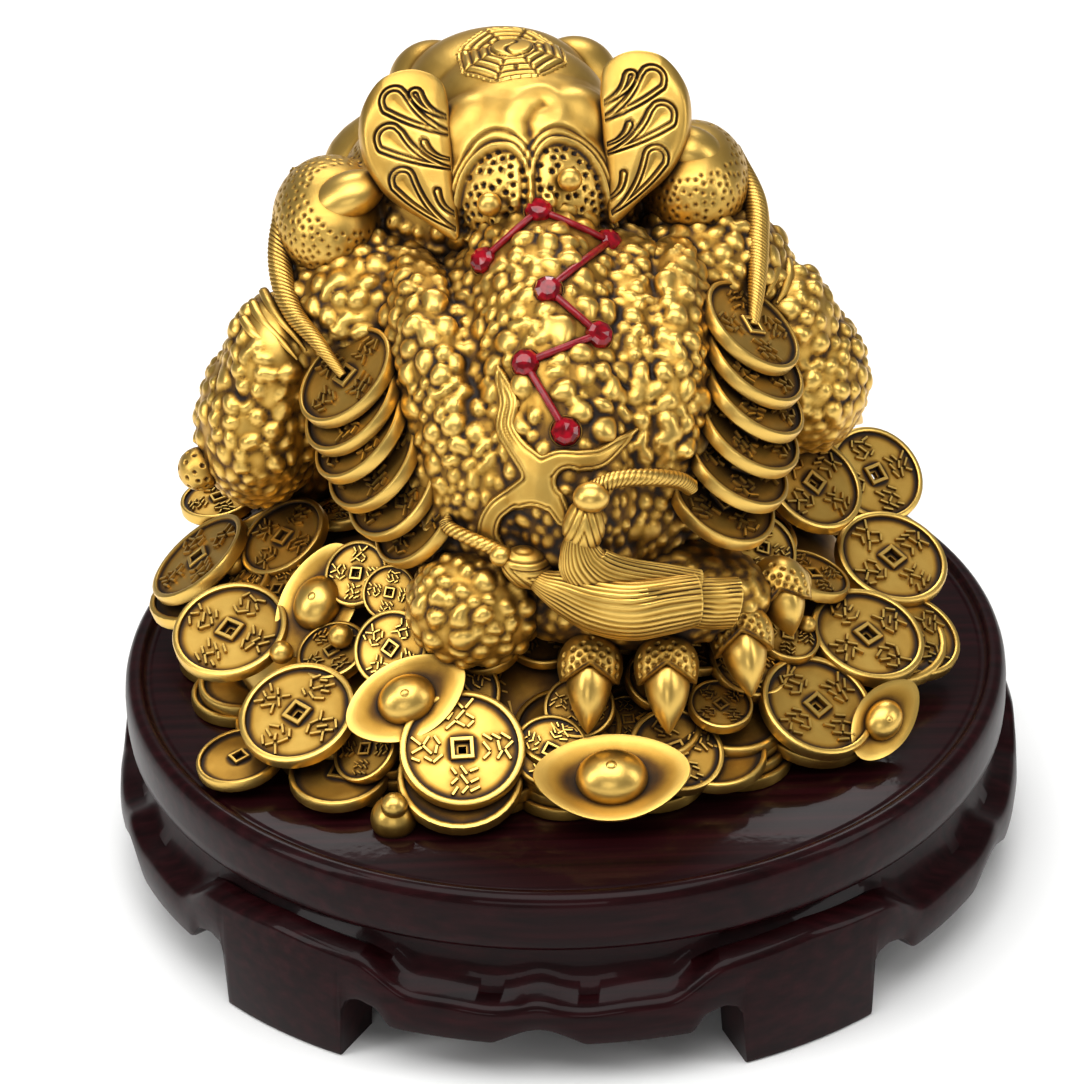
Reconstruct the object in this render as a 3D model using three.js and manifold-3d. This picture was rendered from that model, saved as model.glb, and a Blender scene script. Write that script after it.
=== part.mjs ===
// A money toad cast in brass, sitting on a heap of coins, on a round stand of lacquered wood.
// Millimetres, +Z up. The origin is on the table under the middle of the stand, and the toad faces -Y.
import * as THREE from "three";
import { mergeVertices } from "three/addons/utils/BufferGeometryUtils.js";
import Module from "manifold-3d";

const wasm = await Module();
wasm.setup();

// The casting. Its free form is drawn for the drawn width, with heights above its own underside.
const CASTING_WIDTH = 248;
const DRAWN_WIDTH = 248;

// The round top of the stand
const DISC_MARGIN = 21; // from the widest part of the casting to the edge of the disc
const DISC_RADIUS = CASTING_WIDTH / 2 + DISC_MARGIN;
const DISC_THICKNESS = 20;
const DISC_ROUNDING = 1.5;
const RIM_WIDTH = 5.3;
const RIM_HEIGHT = 2;
const DISC_SIDES = 40;

// The ring of feet under it
const FOOT_RING_HEIGHT = 48;
const FOOT_RING_OUTER = DISC_RADIUS + 4;
const FOOT_RING_DEPTH = 19.5;
const WAIST_OUTER = DISC_RADIUS - 8; // the dark recess right under the disc
const WAIST_DEPTH = 15;
const COVE_DROP = 9; // from the top of the ring down to where the cove meets the waist
const COVE_OUTER = WAIST_OUTER + 4;
const FOOT_BEARINGS = [-38.8, 29.5, 103, 175, 249]; // hand cut, so the feet are not quite evenly spaced
const FOOT_HALF_ANGLE = 9.2;
const LOBE_HALF_ANGLE = 17; // the raised leaf over each foot
const LOBE_EDGE_ANGLE = 5;
const LOBE_DROP = 6;
const APRON_DROP = 18;
const APRON_DIP = 2; // the small point midway between two feet
const APRON_DIP_ANGLE = 12;
const APRON_LOW = 16; // the underside of the two lobes between feet
const APRON_NOTCH = 8; // how much higher the arches reach, in the middle and beside each foot
const STAND_GAP = 0.3; // under the disc and under the casting

// Coins, drawn with the casting
const COIN_RADIUS = 18.9;
const BIG_COIN_RADIUS = 19.6;
const STRING_COIN_RADIUS = 18.2;
const SMALL_COIN_RADIUS = 10.2;
const COIN_THICKNESS = 4.6;
const COIN_RIM = 2.6;
const COIN_SINK = 1.2; // how deep the field lies under the rim
const COIN_HOLE = 4.4; // side of the square hole
const COIN_SIDES = 12;
const PLAIN_COIN_SIDES = 10;

// Gems
const GEM_RADIUS = 4.4;
const GEM_HEIGHT = 3.4; // above the back
const GEM_SETTING = 1.6; // how far a gem is let into the back
const GEM_CLEARANCE = 0.3;
const GEM_SIDES = 6;

// Cords, drawn with the casting
const ROPE_RADIUS = 3.1;
const FLAME_RADIUS = 2.6;

const RADIAN = Math.PI / 180;
const UNIT = CASTING_WIDTH / DRAWN_WIDTH;
const FLOOR = FOOT_RING_HEIGHT + STAND_GAP + DISC_THICKNESS - RIM_HEIGHT;

const brass = new THREE.MeshStandardMaterial({ color: 0xb08a34, roughness: 0.38, metalness: 1 });
const lacquer = new THREE.MeshStandardMaterial({ color: 0x2a1214, roughness: 0.22, metalness: 0 });
const redGlass = new THREE.MeshStandardMaterial({ color: 0x9c0f22, roughness: 0.08, metalness: 0 });

// A closed geometry as a solid that can be joined and cut
function solidOf(geometry) {
  const bare = new THREE.BufferGeometry();
  const open = geometry.index ? geometry.toNonIndexed() : geometry;
  bare.setAttribute("position", open.getAttribute("position"));
  const merged = mergeVertices(bare, 1e-4);
  const mesh = new wasm.Mesh({
    numProp: 3,
    vertProperties: merged.attributes.position.array,
    triVerts: new Uint32Array(merged.index.array),
  });
  return new wasm.Manifold(mesh);
}

function geometryOf(solid) {
  const mesh = solid.getMesh();
  const positions = new THREE.BufferAttribute(mesh.vertProperties, mesh.numProp);
  const indices = new THREE.BufferAttribute(mesh.triVerts, 1);
  return new THREE.BufferGeometry().setAttribute("position", positions).setIndex(indices);
}

function joined(solids) {
  return solids.reduce((whole, solid) => whole.add(solid));
}

// The same solid with the sealed hollows between its forms filled
function filled(solid) {
  return joined(solid.decompose().filter((part) => part.volume() > 0));
}

function namedMesh(name, solid, material) {
  const mesh = new THREE.Mesh(geometryOf(solid), material);
  mesh.name = name;
  return mesh;
}

// Sizes and places of the free form, from the width it is drawn for to the real one
function real(values) {
  return values.map((value) => value * UNIT);
}

// A profile of [radius, height] points turned round Z
function turned(outline, sides) {
  const geometry = new THREE.LatheGeometry(outline.map((point) => new THREE.Vector2(...point)), sides);
  geometry.rotateX(Math.PI / 2);
  return solidOf(geometry);
}

// An egg: half sizes along its own axes, turned by degrees about X, then Y, then Z
function egg(centre, half, turn = [0, 0, 0], around = 8, up = 6) {
  const geometry = new THREE.SphereGeometry(1, around, up);
  geometry.rotateX(Math.PI / 2);
  geometry.scale(...real(half));
  const [x, y, z] = turn.map((degrees) => degrees * RADIAN);
  geometry.applyMatrix4(new THREE.Matrix4().makeRotationFromEuler(new THREE.Euler(x, y, z, "ZYX")));
  geometry.translate(...real(centre));
  return solidOf(geometry);
}

// The turn that leans a flat thing's +Z towards a bearing on the ground by some degrees
function leaning(toward, lean) {
  const turn = new THREE.Matrix4().makeRotationZ(toward * RADIAN);
  return turn.multiply(new THREE.Matrix4().makeRotationY(lean * RADIAN));
}

// The turn that points +X along a line, and +Z as near as it can to a given way up
function lying(along, up) {
  const x = new THREE.Vector3(...along).normalize();
  const z = new THREE.Vector3(...up);
  z.addScaledVector(x, -z.dot(x)).normalize();
  return new THREE.Matrix4().makeBasis(x, new THREE.Vector3().crossVectors(z, x), z);
}

function placed(solid, [x, y, z], turn) {
  const matrix = new THREE.Matrix4().makeTranslation(x, y, z).multiply(turn);
  return solid.transform(matrix.elements);
}

// A round bar swept along a smooth line through points
function rope(points, radius, steps, sides = 5) {
  const line = new THREE.CatmullRomCurve3(points.map((point) => new THREE.Vector3(...real(point))));
  const ring = new THREE.Shape();
  ring.moveTo(radius * UNIT, 0);
  for (let side = 1; side < sides; side++) {
    const angle = (2 * Math.PI * side) / sides;
    ring.lineTo(radius * UNIT * Math.cos(angle), radius * UNIT * Math.sin(angle));
  }
  return solidOf(new THREE.ExtrudeGeometry(ring, { steps, extrudePath: line, bevelEnabled: false }));
}

// A closed skin over rings of points that all have the same count, with flat ends
function loft(rings) {
  const count = rings[0].length;
  const points = rings.flat();
  const faces = [];
  for (let ring = 0; ring + 1 < rings.length; ring++) {
    for (let side = 0; side < count; side++) {
      const next = (side + 1) % count;
      const [a, b] = [ring * count + side, ring * count + next];
      faces.push(a, b, b + count, a, b + count, a + count);
    }
  }
  const last = (rings.length - 1) * count;
  for (let side = 1; side + 1 < count; side++) {
    faces.push(0, side + 1, side);
    faces.push(last, last + side, last + side + 1);
  }
  const geometry = new THREE.BufferGeometry();
  geometry.setAttribute("position", new THREE.Float32BufferAttribute(points.flat(), 3));
  geometry.setIndex(faces);
  return solidOf(geometry);
}

// The heap: an oval mound with a wavy foot, steep at the sides and gentle behind the toad
const HEAP = {
  centre: [3, -2],
  half: [124, 104],
  lip: 9, // the upright edge round its foot
  height: 66,
  tailSlope: 0.87,
  sideSlope: 0.48,
  waves: 8,
  wave: 3,
};

// The height of the heap that the coins, ingots and knobs on it are drawn for
const DRAWN_HEAP_HEIGHT = 66;

function heapRise(reach, angle, height) {
  const tail = Math.max(0, Math.sin(angle)) ** 2;
  const slope = HEAP.sideSlope + (HEAP.tailSlope - HEAP.sideSlope) * tail;
  return HEAP.lip + (height - HEAP.lip) * Math.pow(1 - reach, slope);
}

// A place on the heap's skin, moved up or down with the skin there
function onHeap([x, y, z]) {
  const across = (x - HEAP.centre[0]) / HEAP.half[0];
  const along = (y - HEAP.centre[1]) / HEAP.half[1];
  const reach = Math.min(1, Math.hypot(across, along));
  const angle = Math.atan2(along, across);
  const lift = heapRise(reach, angle, HEAP.height) - heapRise(reach, angle, DRAWN_HEAP_HEIGHT);
  return [x, y, z + lift];
}

function heap() {
  const around = 3 * HEAP.waves;
  const ringAt = (reach, heightAt, wave) => {
    const ring = [];
    for (let side = 0; side < around; side++) {
      const angle = (2 * Math.PI * side) / around;
      const swell = wave * Math.cos(HEAP.waves * angle);
      const x = HEAP.centre[0] + (HEAP.half[0] * reach + swell) * Math.cos(angle);
      const y = HEAP.centre[1] + (HEAP.half[1] * reach + swell) * Math.sin(angle);
      ring.push(real([x, y, heightAt(angle)]));
    }
    return ring;
  };
  const foot = ringAt(1, () => 0, HEAP.wave);
  const lip = ringAt(1, () => HEAP.lip, HEAP.wave);
  const slopes = [0.86, 0.62, 0.3].map((reach) => {
    return ringAt(reach, (angle) => heapRise(reach, angle, HEAP.height), 0);
  });
  return loft([foot, lip, ...slopes]);
}

// A cash coin lying on its back at the origin: rim, sunk field and square hole
function coin(radius) {
  const field = COIN_THICKNESS - COIN_SINK;
  const inner = radius - COIN_RIM;
  const outline = [
    [0, 0],
    [radius, 0],
    [radius, COIN_THICKNESS],
    [inner, COIN_THICKNESS],
    [inner - COIN_SINK / 2, field],
    [0, field],
  ];
  const hole = new THREE.BoxGeometry(COIN_HOLE, COIN_HOLE, COIN_THICKNESS);
  hole.translate(0, 0, COIN_THICKNESS);
  hole.scale(UNIT, UNIT, UNIT);
  return turned(outline.map(real), COIN_SIDES).subtract(solidOf(hole));
}

// A coin of which only the edge and a part of the plain face show
function plainCoin(radius) {
  const disc = new THREE.CylinderGeometry(radius, radius, COIN_THICKNESS, PLAIN_COIN_SIDES);
  disc.rotateX(Math.PI / 2);
  disc.translate(0, 0, COIN_THICKNESS / 2);
  disc.scale(UNIT, UNIT, UNIT);
  return solidOf(disc);
}

// Sets a coin with the middle of its upper face in a place, leaning towards a bearing
function coinAt([x, y, z, toward, lean, radius], make) {
  const turn = leaning(toward, lean);
  const down = new THREE.Vector3(0, 0, -COIN_THICKNESS * UNIT).applyMatrix4(turn);
  const middle = new THREE.Vector3(...real([x, y, z])).add(down);
  return placed(make(radius), middle.toArray(), turn);
}

// The coins on top, laid by hand: middle of the upper face, the bearing it leans to, the lean and the radius
const LAID_COINS = [
  [120, -12, 33.5, 2, 35, COIN_RADIUS],
  [107, 34, 33.5, 66, 22, COIN_RADIUS],
  [85, 69, 23.5, 62, 25, COIN_RADIUS],
  [33, 91, 22.5, 93, 34, BIG_COIN_RADIUS],
  [-79, 68, 19.5, 132, 29, COIN_RADIUS],
  [-97, 38, 26.5, 131, 23, COIN_RADIUS],
  [-108, -1, 31.5, 127, 25, COIN_RADIUS],
  [-105, -31, 45.5, 125, 40, 17.2],
  [91, -3, 45.5, 28, 31, 15.8],
];

// Smaller and half covered coins, and the ones under the laid ones that show as steps at the foot of the heap
const UNDER_COINS = [
  [55, 62, 41.5, 63, 47, 12.5],
  [55, 45, 51.5, 68, 49, 9.1],
  [15, 68, 21.5, 108, 33, 17],
  [-19, 76, 21.5, 96, 14, SMALL_COIN_RADIUS],
  [-48, 75, 25.5, 112, 17, SMALL_COIN_RADIUS],
  [-112, 26, 18.5, 137, 26, 17],
  [-83, -6, 57.5, 135, 38, 17.5],
  [114, -44, 37.5, 20, 8, 13],
  [34, 93, 13.5, 93, 24, BIG_COIN_RADIUS],
  [104, 70, 8.5, 31, 10, 14],
  [72, 82, 9.5, 70, 8, 16],
  [-46, 82, 12.5, 100, 10, 16],
  [-78, 62, 11.5, 132, 18, BIG_COIN_RADIUS],
  [-102, 26, 18.5, 131, 15, 22],
  [118, -10, 23.5, 2, 18, BIG_COIN_RADIUS],
];

// The coins round the far side, alternately low and high, lean outward in the same way
const FAR_COINS = { count: 5, first: 214, step: 28.5, lean: 32, reach: [0.93, 0.8], height: [29, 36] };

function farCoins() {
  const coins = [];
  for (let index = 0; index < FAR_COINS.count; index++) {
    const toward = FAR_COINS.first + index * FAR_COINS.step;
    const reach = FAR_COINS.reach[index % 2];
    const x = HEAP.centre[0] + HEAP.half[0] * reach * Math.cos(toward * RADIAN);
    const y = HEAP.centre[1] + HEAP.half[1] * reach * Math.sin(toward * RADIAN);
    coins.push([x, y, FAR_COINS.height[index % 2], toward, FAR_COINS.lean, COIN_RADIUS]);
  }
  return coins;
}

// The two strings of six coins, from under the rope down to the heap
const STRING_COINS = 6;
const LEFT_STRING = { first: [67, 14, 113.5], last: [46, 43, 79.5], toward: [23, 31], lean: [38, 47] };
const RIGHT_STRING = { first: [-61, 8, 123.5], last: [-51, 47, 83.5], toward: [166, 156], lean: [38, 32] };
const STRING_SWING = 5; // how far the middle of a string swings outward

function stringCoins({ first, last, toward, lean }) {
  const between = ([from, to], share) => from + (to - from) * share;
  const coins = [];
  for (let index = 0; index < STRING_COINS; index++) {
    const share = index / (STRING_COINS - 1);
    const swing = Math.sign(first[0]) * STRING_SWING * Math.sin(Math.PI * share);
    const [x, y, z] = first.map((value, axis) => between([value, last[axis]], share));
    coins.push([x + swing, y, z, between(toward, share), between(lean, share), STRING_COIN_RADIUS]);
  }
  return coins;
}

function allCoins() {
  const [leftTop, ...leftRest] = stringCoins(LEFT_STRING);
  const [rightTop, ...rightRest] = stringCoins(RIGHT_STRING);
  const settled = (coins) => coins.map(([x, y, z, ...rest]) => [...onHeap([x, y, z]), ...rest]);
  const faced = [...settled(LAID_COINS), leftTop, rightTop].map((place) => coinAt(place, coin));
  const plain = [...settled([...UNDER_COINS, ...farCoins()]), ...leftRest, ...rightRest];
  return [...faced, ...plain.map((place) => coinAt(place, plainCoin))];
}

// A boat-shaped ingot: a dish with raised tips round a dome, in shares of its half length
const INGOT_STATIONS = [-1, -0.6, 0, 0.6, 1];

function ingot({ at, length, along, up }) {
  const sections = INGOT_STATIONS.map((share) => {
    const round = Math.sqrt(1.04 - share * share);
    const side = 0.5 * round;
    const edge = 0.08 + 0.2 * share * share;
    const outline = [
      [0, -0.4 * round],
      [side, edge],
      [side * 0.8, edge],
      [0, edge - 0.3 * round],
      [-side * 0.8, edge],
      [-side, edge],
    ];
    return outline.map(([y, z]) => real([share * length, y * length, z * length]));
  });
  const dome = egg([0, 0, length * 0.05], [length * 0.44, length * 0.34, length * 0.4], [0, 0, 0], 6, 4);
  return placed(loft(sections).add(dome), real(onHeap(at)), lying(along, up));
}

const INGOTS = [
  { at: [-13, 99, 13.5], length: 24, along: [-1, 0, 0.02], up: [0, 0.45, 0.9] },
  { at: [50, 76, 30.5], length: 20, along: [-0.85, -0.3, 0.3], up: [0.05, 0.65, 0.76] },
  { at: [76, 26, 43.5], length: 23, along: [-0.15, -0.8, 0.58], up: [0.55, 0.4, 0.73] },
  { at: [-98, 66, 15.5], length: 16, along: [-0.62, -0.6, 0.5], up: [-0.35, 0.75, 0.56] },
];

// Round knobs between the coins and the foot, with their radius
const BEADS = [
  [-72, 16, 49.5, 7.2],
  [-48, 28, 51.5, 6.2],
];

// The back: a ridge between two flanks on one trunk
const RIDGE = { centre: [2, 6, 99.5], half: [34, 76, 50], tilt: -33, turn: 6 };

function back() {
  return joined([
    egg([3, 2, 83.5], [57, 70, 54], [-25, 0, 6], 10, 6),
    egg(RIDGE.centre, RIDGE.half, [RIDGE.tilt, 0, RIDGE.turn], 12, 8),
    egg([37, 9, 99.5], [17, 52, 36], [-36, 4, 12], 8, 6),
    egg([-35, 9, 103.5], [16, 50, 36], [-36, -4, -4], 8, 6),
    egg([60, -27, 115], [31, 29, 25], [-10, 20, 0]),
    egg([-50, -29, 123], [28, 28, 23], [-10, -20, 0]),
    egg([8, -50, 81.5], [58, 44, 52]),
  ]);
}

// One arm, with the foot spread on the coins in front
function arm(side, middle, half, foot) {
  const [x, y, z] = foot;
  const parts = [
    egg(middle, half, [8, side * -8, 0], 9, 6),
    egg([x - side * 8, y + 22, z + 20], [18, 24, 26], [0, 0, 0], 7, 4),
    egg([x, y + 4, z + 4], [18, 20, 11], [0, 0, side * -20], 7, 4),
  ];
  const reach = 22;
  for (const spread of [-5, 45]) {
    const bearing = -90 + side * spread;
    const toeX = x + reach * Math.cos(bearing * RADIAN);
    const toeY = y + reach * Math.sin(bearing * RADIAN);
    parts.push(egg([toeX, toeY, z + 1], [11, 8, 7], [0, 0, bearing], 6, 4));
  }
  return joined(parts);
}

// The head: cheeks, dome, brow, plate, eyes and muzzle, turned a little to the toad's left
function head() {
  const plate = new THREE.CylinderGeometry(...real([16.5, 18.5, 5]), 8);
  plate.rotateX(Math.PI / 2);
  plate.rotateZ(Math.PI / 8);
  plate.translate(...real([9, -57, 184]));
  return joined([
    egg([13, -62, 137.5], [57, 45, 37], [0, 0, 6], 10, 6),
    egg([6, -38, 150], [33, 33, 29], [8, 0, 6], 10, 6),
    egg([13, -72, 170.5], [33, 24, 18], [0, 0, 6], 10, 5),
    solidOf(plate),
    egg([71, -42, 139.5], [19, 25, 20], [0, 0, 0], 8, 5),
    egg([-46, -42, 149], [18, 24, 19], [0, 0, 0], 8, 5),
    egg([37, -84, 166.5], [15, 14, 15], [0, 0, 0], 7, 4),
    egg([-9, -88, 164.5], [15, 14, 15], [0, 0, 0], 7, 4),
    egg([21, -92, 137.5], [54, 25, 24], [0, 0, 8], 10, 5),
    egg([20, -84, 117.5], [50, 28, 19], [0, 0, 8], 8, 5),
  ]);
}

// A curled, petal-shaped ear that stands beside the dome
function ear(low, high, spread, face) {
  const along = new THREE.Vector3(...high).sub(new THREE.Vector3(...low));
  const middle = new THREE.Vector3(...low).addScaledVector(along, 0.55);
  const up = along.clone().normalize();
  const front = new THREE.Vector3(...face);
  front.addScaledVector(up, -front.dot(up)).normalize();
  const across = new THREE.Vector3().crossVectors(front, up);
  const turn = new THREE.Matrix4().makeBasis(across, front, up);
  const leaf = egg([0, 0, 0], [spread, 7, along.length() * 0.54], [0, 0, 0], 9, 6);
  const dish = egg([0, 9, 0], [spread * 0.72, 6, along.length() * 0.4], [0, 0, 0], 7, 4);
  return placed(leaf.subtract(dish), real(middle.toArray()), turn);
}

// The rear foot's toes, each from its joint to the tip of its claw
const TOES = [
  { joint: [-8, 70, 47.5], tip: [-6, 87, 24.5] },
  { joint: [-31, 72, 47.5], tip: [-31, 90, 25.5] },
  { joint: [-54, 62, 50.5], tip: [-57, 80, 31.5] },
  { joint: [-66, 48, 56.5], tip: [-71, 58, 39.5] },
];
const CLAW_RADIUS = 7;
const CLAW_TAPER = 0.55;

// A claw: an egg that stands on one end at the joint and is pinched towards its tip
function claw({ joint, tip }) {
  const along = new THREE.Vector3(...tip).sub(new THREE.Vector3(...joint));
  const turn = new THREE.Matrix4().lookAt(along, new THREE.Vector3(), new THREE.Vector3(0, 1, 0.2));
  const shape = new THREE.SphereGeometry(1, 6, 4);
  const points = shape.getAttribute("position");
  for (let index = 0; index < points.count; index++) {
    const share = (points.getY(index) + 1) / 2;
    const width = CLAW_RADIUS * (1 - CLAW_TAPER * share);
    const across = [points.getX(index) * width, -points.getZ(index) * width];
    points.setXYZ(index, ...real([...across, share * along.length()]));
  }
  return placed(solidOf(shape), real(joint), turn);
}

// The rear leg: a warted heel, a thigh behind the tassel and four clawed toes
function rearLeg() {
  return joined([
    egg([28, 62, 55.5], [21, 17, 19], [0, 0, 0], 10, 6),
    egg([-18, 50, 53.5], [48, 25, 17], [0, 0, -8], 9, 5),
    ...TOES.map(({ joint }) => egg(joint, [11, 12, 10], [0, 0, 0], 7, 4)),
    ...TOES.map(claw),
  ]);
}

// The brushed skirt of the tassel, as [x, y, z, half depth, half height]
const SKIRT = [
  [6, 76, 71.5, 5, 7],
  [-4, 82, 68.5, 6, 11],
  [-20, 84, 65.5, 7, 13],
  [-43, 78, 64.5, 7, 13],
];
const SKIRT_SIDES = 7;

function skirt() {
  return loft(
    SKIRT.map(([x, y, z, depth, height]) => {
      const ring = [];
      for (let side = 0; side < SKIRT_SIDES; side++) {
        const angle = (2 * Math.PI * side) / SKIRT_SIDES;
        ring.push(real([x, y - depth * Math.cos(angle), z + height * Math.sin(angle)]));
      }
      return ring;
    }),
  );
}

// The cord round the rump with its bead, braided knots and two tassels
function tassels() {
  return joined([
    skirt(),
    egg([-50, 72, 59.5], [8, 6, 10], [0, -25, 20], 6, 4),
    egg([11, 72, 75.5], [8, 7, 7], [0, 0, 0], 6, 4),
    egg([-10, 76, 90], [8, 7, 14], [0, 0, 0], 7, 4),
    rope([[-36, 60, 97.5], [-27, 70, 104.5], [-17, 74, 106.5], [-9, 75, 103.5]], ROPE_RADIUS, 4),
    rope([[34, 60, 82.5], [26, 68, 82.5], [14, 71, 77.5]], ROPE_RADIUS, 3),
  ]);
}

// The flame-like ornament on the rump: a raised ribbon in three tongues
function flame() {
  const fork = [2, 71, 110];
  return joined([
    rope([[16, 40, 127], [17, 46, 121], [15, 58, 116.5], fork], FLAME_RADIUS, 4, 4),
    rope([fork, [-5, 70, 111.5], [-14, 66, 113.5], [-24, 60, 117]], FLAME_RADIUS, 3, 4),
    rope([fork, [8, 69, 103.5], [14, 63, 98], [19, 61, 88]], FLAME_RADIUS, 3, 4),
  ]);
}

// The cords that come from the mouth over the shoulders to the strings of coins
const LEFT_ROPE = [
  [80, -52, 151.5],
  [86, -36, 141.5],
  [87, -24, 131.5],
  [83, -10, 123.5],
  [75, 4, 119.5],
  [67, 14, 112.5],
];
const RIGHT_ROPE = [
  [-58, -50, 155.5],
  [-65, -34, 145.5],
  [-65, -18, 137.5],
  [-64, -4, 130.5],
  [-62, 8, 122.5],
];

// A point of the ridge straight above x and y, with the outward direction there
function onRidge([x, y]) {
  const turn = new THREE.Euler(RIDGE.tilt * RADIAN, 0, RIDGE.turn * RADIAN, "ZYX");
  const toCasting = new THREE.Matrix4().makeRotationFromEuler(turn);
  const toRidge = toCasting.clone().transpose();
  const sizes = new THREE.Vector3(...RIDGE.half);
  const start = new THREE.Vector3(x, y, 0).sub(new THREE.Vector3(...RIDGE.centre));
  const from = start.applyMatrix4(toRidge).divide(sizes);
  const rise = new THREE.Vector3(0, 0, 1).applyMatrix4(toRidge).divide(sizes);
  const [a, b, c] = [rise.dot(rise), from.dot(rise), from.dot(from) - 1];
  const height = (-b + Math.sqrt(b * b - a * c)) / a;
  const normal = from.addScaledVector(rise, height).divide(sizes).applyMatrix4(toCasting).normalize();
  return { point: new THREE.Vector3(...real([x, y, height])), normal };
}

// Where the seven gems sit on the ridge, in the order the enamel line joins them
const GEM_PLACES = [
  [21.5, 3.5],
  [4, -7],
  [-17.5, -7.5],
  [2, 25],
  [-13, 35],
  [9.5, 43.5],
  [-2, 60.5],
];

function gem() {
  const outline = [
    [0, 0],
    [GEM_RADIUS, 0],
    [GEM_RADIUS, GEM_SETTING],
    [GEM_RADIUS * 0.6, GEM_SETTING + GEM_HEIGHT],
    [0, GEM_SETTING + GEM_HEIGHT],
  ];
  return turned(outline, GEM_SIDES);
}

function gemSocket() {
  const radius = GEM_RADIUS + 2 * GEM_CLEARANCE;
  const depth = 3 * GEM_RADIUS;
  const socket = new THREE.CylinderGeometry(radius, radius, depth, GEM_SIDES);
  socket.rotateX(Math.PI / 2);
  socket.translate(0, 0, depth / 2 - GEM_CLEARANCE);
  return solidOf(socket);
}

// Each gem's seat: a place under the skin of the ridge, and the turn that stands it upright there
function gemSeats() {
  return GEM_PLACES.map((place) => {
    const { point, normal } = onRidge(place);
    const turn = new THREE.Quaternion().setFromUnitVectors(new THREE.Vector3(0, 0, 1), normal);
    return { point: point.addScaledVector(normal, -GEM_SETTING), turn };
  });
}

function toad() {
  const casting = joined([
    heap(),
    ...allCoins(),
    ...INGOTS.map(ingot),
    ...BEADS.map(([x, y, z, radius]) => egg(onHeap([x, y, z]), [radius, radius, radius], [0, 0, 0], 7, 4)),
    back(),
    arm(1, [96, -22, 85.5], [21, 27, 37], [96, -66, 35]),
    arm(-1, [-80, -24, 94], [21, 26, 33], [-78, -68, 36]),
    head(),
    ear([29, -7, 147], [51, -37, 189], 16, [0.35, 0.85, 0.4]),
    ear([-18, -9, 150], [-35, -38, 193.5], 15.5, [-0.35, 0.85, 0.4]),
    rearLeg(),
    tassels(),
    flame(),
    rope(LEFT_ROPE, ROPE_RADIUS, 5),
    rope(RIGHT_ROPE, ROPE_RADIUS, 4),
  ]);
  const sockets = gemSeats().map(({ point, turn }) => {
    return placed(gemSocket(), point.toArray(), new THREE.Matrix4().makeRotationFromQuaternion(turn));
  });
  return filled(casting.subtract(joined(sockets)));
}

function gemMeshes() {
  return gemSeats().map(({ point, turn }, index) => {
    const mesh = namedMesh("gem_" + (index + 1), gem(), redGlass);
    mesh.position.copy(point);
    mesh.quaternion.copy(turn);
    return mesh;
  });
}

function standTop() {
  const low = FOOT_RING_HEIGHT + STAND_GAP;
  const high = low + DISC_THICKNESS;
  const outline = [
    [0, low],
    [DISC_RADIUS - DISC_ROUNDING, low],
    [DISC_RADIUS, low + DISC_ROUNDING],
    [DISC_RADIUS, high - DISC_ROUNDING],
    [DISC_RADIUS - DISC_ROUNDING, high],
    [DISC_RADIUS - RIM_WIDTH, high],
    [DISC_RADIUS - RIM_WIDTH - RIM_HEIGHT, FLOOR],
    [0, FLOOR],
  ];
  return turned(outline, DISC_SIDES);
}

// The lower edge of half a bay between two feet, as shares of the way and of the notch's height: a round
// notch beside the foot, a lobe, and half of the arch in the middle
const BAY = [
  [0.01, 0.7],
  [0.06, 1],
  [0.12, 0.7],
  [0.17, 0],
  [0.34, 0],
  [0.42, 0.75],
  [0.5, 1],
];

// How far an angle is from its nearest foot, and from the next nearest
function nearestFeet(angle) {
  const gaps = FOOT_BEARINGS.map((bearing) => {
    const turn = (((angle - bearing) % 360) + 360) % 360;
    return Math.min(turn, 360 - turn);
  });
  return gaps.sort((a, b) => a - b);
}

// The upper edge of the apron: a leaf with steep shoulders over each foot, a small dip midway between feet
function apronTop(angle) {
  const [near, far] = nearestFeet(angle);
  const leaf = Math.min(1, Math.max(0, (LOBE_HALF_ANGLE - near) / LOBE_EDGE_ANGLE));
  const pointed = 0.75 + 0.25 * (1 - near / LOBE_HALF_ANGLE);
  const dip = Math.max(0, 1 - (far - near) / APRON_DIP_ANGLE);
  const plain = FOOT_RING_HEIGHT - APRON_DROP - dip * APRON_DIP;
  return plain + (FOOT_RING_HEIGHT - LOBE_DROP - plain) * leaf * pointed;
}

// The angles round the ring at which its section changes, with the height of the lower edge there
function footRingStations() {
  const stations = [];
  FOOT_BEARINGS.forEach((bearing, index) => {
    const wrap = index + 1 === FOOT_BEARINGS.length ? 360 : 0;
    const next = FOOT_BEARINGS[(index + 1) % FOOT_BEARINGS.length] + wrap;
    const start = bearing + FOOT_HALF_ANGLE;
    const width = next - FOOT_HALF_ANGLE - start;
    const mirrored = BAY.slice(0, -1).reverse().map(([along, rise]) => [1 - along, rise]);
    for (const angle of [bearing - FOOT_HALF_ANGLE, bearing, start]) stations.push({ angle, low: 0 });
    for (const [along, rise] of [...BAY, ...mirrored]) {
      stations.push({ angle: start + along * width, low: APRON_LOW + rise * APRON_NOTCH });
    }
  });
  return stations;
}

// The section of the foot ring at a station, going round it
function footRingSection({ angle, low }) {
  const top = apronTop(angle);
  return [
    [FOOT_RING_OUTER - FOOT_RING_DEPTH, low],
    [FOOT_RING_OUTER, low],
    [FOOT_RING_OUTER, top],
    [COVE_OUTER, Math.max(FOOT_RING_HEIGHT - COVE_DROP, top + 1)],
    [WAIST_OUTER, FOOT_RING_HEIGHT],
    [WAIST_OUTER - WAIST_DEPTH, FOOT_RING_HEIGHT],
  ];
}

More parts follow.
